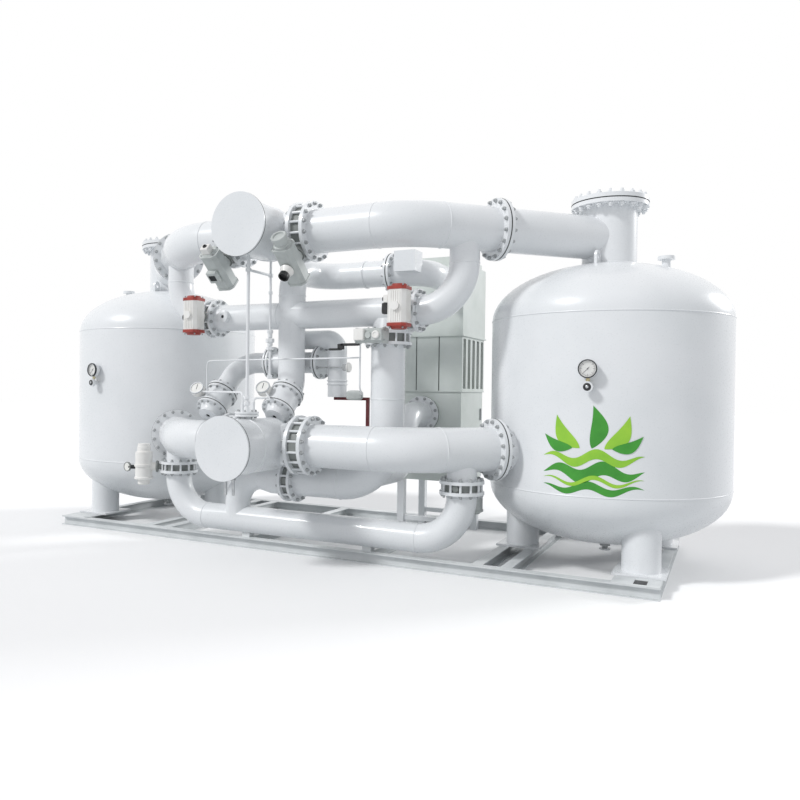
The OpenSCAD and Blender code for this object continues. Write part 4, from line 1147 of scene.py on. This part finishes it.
@dataclass(frozen=True)
class Cooler:
    """Painted shade in the slots between the packs, along their mouths and in the front seams, and a grip on the
    cooler's housing, from its right and front walls.
    """

    right_x: float = 1.150
    front_y: float = 0.300
    depth: float = 0.800
    packs: int = 5
    core_z: float = 1.9525

    def build(self) -> None:
        """Makes the dark sheets of painted shade in the slots, along their mouths and in the seams, and the grip."""
        middle = self.front_y + (np.arange(self.packs) + 0.5) * self.depth / self.packs
        places = np.stack([np.full(self.packs, self.right_x - 0.056), middle, np.full(self.packs, self.core_z)], -1)
        shade_lips = np.concatenate([places + (0.0565, 0.030, 0.0), places + (0.0565, -0.030, 0.0)])
        seams = np.array([(self.right_x - d, self.front_y + 0.008, self.core_z) for d in (0.270, 0.540)])
        # Dark sheets as painted shade: at the slots' bottoms, as lips along their mouths, and in the front seams.
        dark = [copies(brick(ORIGIN, half, cut), spots, np.broadcast_to(SQUARE, (len(spots), 3, 3)))
                for half, cut, spots in (((0.0015, 0.0224, 0.276), 0.0005, places),
                                         ((0.0020, 0.0065, 0.276), 0.0005, shade_lips),
                                         ((0.0055, 0.0012, 0.300), 0.0004, seams))]
        make_piece("cooler_shades", PAINTED_SLOT_SHADE, *dark)
        make_piece("cooler_grip", ZINC, brick((self.right_x - 0.004, 1.010, 1.376), (0.010, 0.015, 0.070), 0.004))


@dataclass(frozen=True)
class SmallTrim:
    """Drains, a probe on a flange, rings and a sensor on the bypass leg, a plug, seals and corner plates."""

    drain_z: float = 0.222
    probe: Point = (0.028, -0.945, 1.870)
    probe_end_x: float = 0.374
    leg: tuple[float, float] = (0.200, -0.830)
    plug: Point = (-0.924, -1.2715, PLAN.header_z)

    def build(self) -> None:
        """Makes the pieces."""
        profile = MM * np.array([(0, -80), (26, -78), (26, -54), (48, -52), (48, -32), (30, -30), (30, 30)])
        drains = [turned(profile, (side.value * PLAN.tower_x, 0.0, self.drain_z), UP, 32) for side in Side]
        make_piece("tower_drains", ZINC, *drains)
        _, y, z = self.probe
        make_piece("flange_probe", ZINC, rod(self.probe, ALONG_X, 0.0075, 0.310, 0.001, 12),
                   brick((self.probe_end_x - 0.022, y, z), (0.022, 0.030, 0.032), 0.004))
        turn_piece("flange_probe_head", CAST_WHITE, (self.probe_end_x, y, z), ALONG_X, [
            (0, 0), (40, 0), (50, 6), (50, 22), (44, 28), (0, 28)], 32)
        make_piece("leg_rings", ENAMEL, *(bead((*self.leg, z), UP, 0.097, 0.010) for z in (1.702, 1.738)))
        make_piece("leg_sensor", CAST_GREY, pebble((0.424, -0.878, 1.592), (0.092, 0.030, 0.050), 0.55))
        self.corner_plates()
        self.drum_trim()
        turn_piece("header_plug", ENAMEL, self.plug, FRONT, [
            (62, -4), (62, 3), (50, 8), (30, 9), (26, 2), (0, 1)], 40)
        turn_piece("header_plug_eye", GASKET, self.plug, FRONT, [(16, 0), (16, 4), (0, 5)], 24)

    @staticmethod
    def corner_plates() -> None:
        """Makes the plates on the skid's two front corners; the right-hand one has a square opening, with a black
        sheet in it as painted shade.
        """
        x0, x1, y0, y1 = 2.935, 3.313, -1.198, -0.912
        hx0, hx1, hy0, hy1 = 3.105, 3.208, -1.158, -1.004
        spans = [(x0, hx0, y0, y1), (hx1, x1, y0, y1), (hx0, hx1, y0, hy0), (hx0, hx1, hy1, y1), (-x1, -x0, y0, y1)]

        def slab(a: float, b: float, c: float, d: float, z: float, half_z: float, cut: float) -> Patch:
            """A flat block from x = a to b and from y = c to d."""
            return brick(((a + b) / 2, (c + d) / 2, z), ((b - a) / 2, (d - c) / 2, half_z), cut)

        make_piece("corner_plates", SKID_ENAMEL, *(slab(*span, 0.1034, 0.0030, 0.0004) for span in spans))
        # A black sheet in the opening: painted shade of the hole.
        make_piece("opening_painted_shade", BLACK, slab(hx0, hx1, hy0, hy1, 0.1012, 0.0006, 0.0002))

    @staticmethod
    def drum_trim() -> None:
        """Makes the dark seals behind the drums' covers and the two drain stubs under the lower drum."""
        seals = [hoop(0.2865, 0.2908, -0.003, 0.003, (PLAN.drum_x, y, z), ALONG_Y, 128)
                 for y, z in ((-2.030, PLAN.upper_z), (-2.230, PLAN.lower_z))]
        make_piece("cover_seals", GASKET, *seals)
        stubs = []
        for x in (-0.232, -0.150):
            top = PLAN.lower_z - math.sqrt(PLAN.drum_r**2 - (x - PLAN.drum_x) ** 2)
            stubs += [rod((x, -2.120, top - 0.175), UP, 0.0125, 0.185, 0.002, 20),
                      rod((x, -2.120, top - 0.040), UP, 0.021, 0.036, 0.003, 6)]
        make_piece("drum_drains", STEEL, *stubs)


@dataclass(frozen=True)
class TowerPrint:
    """A plain printed motif on the right-hand tower: leaves over waves, in greens.

    Attributes:
        middle_x: Distance along the shell from its foremost line to the motif's middle.
        middle_z: Height of the motif's middle.
        half: Half the motif's width.
        thick: Thickness of the film.
        leaf_z: Height of the leaves' feet above the motif's middle.
    """

    middle_x: float = 0.042
    middle_z: float = 1.215
    half: float = 0.420
    thick: float = 0.0006
    leaf_z: float = -0.035

    def film(self, h: Array, z: Array, lift: float) -> Patch:
        """A grid of drawing points laid on the shell, as a surface that faces outwards.

        A drawing point h along the shell lies at the angle h / radius from the foremost line.

        Args:
            h: Grid of distances along the shell, rows by columns.
            z: Grid of heights.
            lift: Distance off the shell.

        Returns:
            The film's surface.
        """
        r = PLAN.tower_r + lift
        angle = (h.ravel() + self.middle_x) / PLAN.tower_r
        points = np.stack([PLAN.tower_x + r * np.sin(angle), -r * np.cos(angle), z.ravel() + self.middle_z], -1)
        return Patch(points, grid_faces(*h.shape, False, False))

    def wave(self, level: float, thick: float, swing: float, phase: float, lift: float) -> Patch:
        """A wave band that tapers to both ends.

        Its middle line is level + swing times sin(2.2 pi u + phase) times (1 - 0.3 u^2) for u from -1 to 1 across
        the motif, and its half thickness is thick times (1 - u^2).

        Args:
            level: Height of its middle line.
            thick: Half its thickness in the middle.
            swing: Height of its swings.
            phase: Where its swings start, as an angle.
            lift: Distance off the shell.

        Returns:
            The band's surface.
        """
        u = np.linspace(-1.0, 1.0, 64)[None, :]
        v = np.linspace(-1.0, 1.0, 5)[:, None]
        z = level + swing * np.sin(2.2 * math.pi * u + phase) * (1 - 0.3 * u**2) + v * thick * (1 - u**2)
        return self.film(np.broadcast_to(self.half * u, z.shape), z, lift)

    def leaf(self, foot_x: float, lean: float, length: float, width: float, lift: float) -> Patch:
        """A pointed leaf.

        Its middle line leaves the foot at an angle lean from upright and curls by 0.16 of its length; its half
        width is width times sin(pi s^0.8) for s from 0 to 1 along it.

        Args:
            foot_x: Distance of its foot from the motif's middle.
            lean: Angle from upright.
            length: Its length.
            width: Half its width.
            lift: Distance off the shell.

        Returns:
            The leaf's surface.
        """
        s = np.linspace(0.0, 1.0, 40)[None, :]
        v = np.linspace(1.0, -1.0, 5)[:, None]
        along = s * length
        curl = 0.16 * length * np.sin(math.pi * s) * math.copysign(1.0, lean)
        across = v * width * np.sin(math.pi * s**0.8) + curl
        c, d = math.cos(lean), math.sin(lean)
        return self.film(foot_x + along * d + across * c, self.leaf_z + along * c - across * d, lift)

    def build(self) -> None:
        """Makes the light and the deep green film, each leaf a little above the one before."""
        deep = [self.wave(-0.235, 0.060, 0.040, 0.0, 0.0010), self.wave(-0.375, 0.034, 0.030, 2.1, 0.0010)]
        light = [self.wave(-0.120, 0.042, 0.040, 0.9, 0.0022), self.wave(-0.312, 0.018, 0.034, 1.3, 0.0022)]
        fan = ((deep, 0.0, 0.02, 0.36, 0.070), (light, -0.10, -0.62, 0.34, 0.062), (light, 0.10, 0.62, 0.34, 0.062),
               (deep, -0.16, -1.15, 0.27, 0.046), (deep, 0.16, 1.15, 0.27, 0.046))
        for k, (shade, *leaf) in enumerate(fan):
            shade.append(self.leaf(*leaf, 0.0016 + 0.0008 * k))
        for name, finish, patches in (("deep_print", FILM_DEEP, deep), ("light_print", FILM_LIGHT, light)):
            obj = make_piece(name, finish, *patches)
            skin = obj.modifiers.new("thickness", "SOLIDIFY")
            skin.thickness, skin.offset = self.thick, -1.0
            obj.data.shade_flat()


# Stage


@dataclass(frozen=True)
class Lamp:
    """A far lamp: its name, the way of its light, its share of the floor's light and how soft its shadows are."""

    name: str
    way: Point
    floor_share: float
    soft_deg: float

    def build(self) -> None:
        """Makes the lamp, with a strength that gives the open floor its share."""
        slope = -float(unit(self.way)[2])
        data = bpy.data.lights.new(self.name, "SUN")
        data.energy = self.floor_share * math.pi / slope
        data.angle = math.radians(self.soft_deg)
        lamp = bpy.data.objects.new(self.name, data)
        lamp.rotation_euler = to_euler(self.way)
        bpy.context.scene.collection.objects.link(lamp)


# Light on the open floor comes from the sky, from a key lamp to the upper left front, and from a rim lamp low
# behind the right-hand tower, as the bright sides in the photograph tell. The three shares add up to about one,
# so that a pale floor comes out white up to the horizon.
SKY_LIGHT = 0.60
LAMPS = (Lamp("studio_key", (0.46, 0.62, -0.64), 0.32, 9.0), Lamp("studio_rim", (-0.60, -0.72, -0.36), 0.15, 16.0))
FLOOR_REACH = 60.0


def to_euler(direction: Vec) -> Point:
    """Euler angles that point an object's -Z along a direction, with its Y as near to up as it can be."""
    d = unit(direction)
    return (math.acos(float(-d[2])), 0.0, math.atan2(float(d[0]), float(-d[1])) + math.pi)


def mix_by_ray(data: bpy.types.ID, kind: str, unseen: dict, seen: dict, output: str) -> None:
    """Gives a material or world one shader for its light and another for its look.

    The second one shows where the camera sees it, straight or in a mirror or glass.

    Args:
        data: The material or world.
        kind: Blender's name of the shader.
        unseen: The shader's inputs for other rays.
        seen: Its inputs for what is seen.
        output: Blender's name of the output node.
    """
    data.use_nodes = True
    tree = data.node_tree
    tree.nodes.clear()
    first, second = (add_node(tree, kind, {}, inputs).outputs[0] for inputs in (unseen, seen))
    ray = add_node(tree, "ShaderNodeLightPath", {}, {}).outputs
    either = {"operation": "MAXIMUM"}
    mirrored = add_node(tree, "ShaderNodeMath", either, {0: ray["Is Glossy Ray"], 1: ray["Is Transmission Ray"]})
    looked_at = add_node(tree, "ShaderNodeMath", either, {0: ray["Is Camera Ray"], 1: mirrored.outputs[0]})
    both = add_node(tree, "ShaderNodeMixShader", {}, {0: looked_at.outputs[0], 1: first, 2: second})
    add_node(tree, output, {}, {"Surface": both.outputs[0]})


def build_stage() -> None:
    """Makes the floor, the world and the lamps."""
    mesh = bpy.data.meshes.new("floor")
    corners = [(x * FLOOR_REACH, y * FLOOR_REACH, 0) for x, y in ((-1, -1), (1, -1), (1, 1), (-1, 1))]
    mesh.from_pydata(corners, [], [(0, 1, 2, 3)])
    floor = bpy.data.objects.new("floor", mesh)
    bpy.context.scene.collection.objects.link(floor)
    # The floor looks white, but throws back only part of its light, as a grey studio floor does.
    paint = bpy.data.materials.new("floor_paint")
    mix_by_ray(paint, "ShaderNodeBsdfDiffuse", {"Color": linear("#cdd0d2")}, {"Color": linear("#ffffff")},
               "ShaderNodeOutputMaterial")
    mesh.materials.append(paint)
    world = bpy.data.worlds.new("studio")
    bpy.context.scene.world = world
    mix_by_ray(world, "ShaderNodeBackground", {"Color": linear("#fbfcff"), "Strength": SKY_LIGHT},
               {"Color": (1, 1, 1, 1), "Strength": 1.0}, "ShaderNodeOutputWorld")
    for lamp in LAMPS:
        lamp.build()


@dataclass(frozen=True)
class Camera:
    """The photograph's camera, found by fitting the skid, towers and pipes.

    Attributes:
        place: Where it stands.
        turn_deg: Its yaw to the left, its pitch upwards and its roll.
        shift: How far the picture's middle lies off the lens's axis, in picture widths.
    """

    place: Point = (3.803, -7.574, 1.642)
    turn_deg: Point = (27.174, -0.42, 0.706)
    lens_mm: float = 33.61
    sensor_mm: float = 36.0
    shift: tuple[float, float] = (0.0633, -0.0053)
    far: float = 200.0

    def build(self) -> None:
        """Makes the camera."""
        yaw, pitch, roll = (math.radians(v) for v in self.turn_deg)
        ahead = np.array([-math.sin(yaw) * math.cos(pitch), math.cos(yaw) * math.cos(pitch), math.sin(pitch)])
        level = np.array([math.cos(yaw), math.sin(yaw), 0.0])
        above = np.cross(level, ahead)
        right = level * math.cos(roll) + above * math.sin(roll)
        up = -level * math.sin(roll) + above * math.cos(roll)
        data = bpy.data.cameras.new("camera")
        data.sensor_width, data.lens, data.clip_end = self.sensor_mm, self.lens_mm, self.far
        data.shift_x, data.shift_y = self.shift
        camera = bpy.data.objects.new("camera", data)
        turn = np.stack([right, up, -ahead], 1)
        camera.matrix_world = Matrix.Translation(self.place) @ Matrix(turn.tolist()).to_4x4()
        bpy.context.scene.collection.objects.link(camera)
        bpy.context.scene.camera = camera


def dress_nodes() -> None:
    """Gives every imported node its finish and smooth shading."""
    for name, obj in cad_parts.items():
        obj.data.materials.clear()
        obj.data.materials.append(finish_of(name).material())
        smooth_with_edges(obj, NODE_EDGE_DEG)


def main() -> None:
    """Builds the scene: finishes, sub-assemblies, stage and camera."""
    logging.basicConfig(level=logging.INFO, format="%(message)s")
    bpy.context.scene.view_settings.view_transform = "Standard"
    dress_nodes()
    gauges = (TowerGauge(Side.LEFT, turn_deg=7.7), TowerGauge(Side.RIGHT, turn_deg=0.5))
    strainers = (
        Strainer("right_strainer", (-0.190, -1.090, 1.680), start=0.1168, dial_way=(-0.643, -0.542, 0.542)),
        Strainer("left_strainer", (-1.005, -0.830, 1.925), start=0.475, dial_way=(-0.707, -0.500, 0.500)))
    for part in (BoltedJoints(), Welds(), *gauges, *strainers, AirLines(), ValveFittings(), BottleDrive(), Cooler(),
                 SmallTrim(), TowerPrint()):
        part.build()
    build_stage()
    Camera().build()


if __name__ == "__main__":
    main()
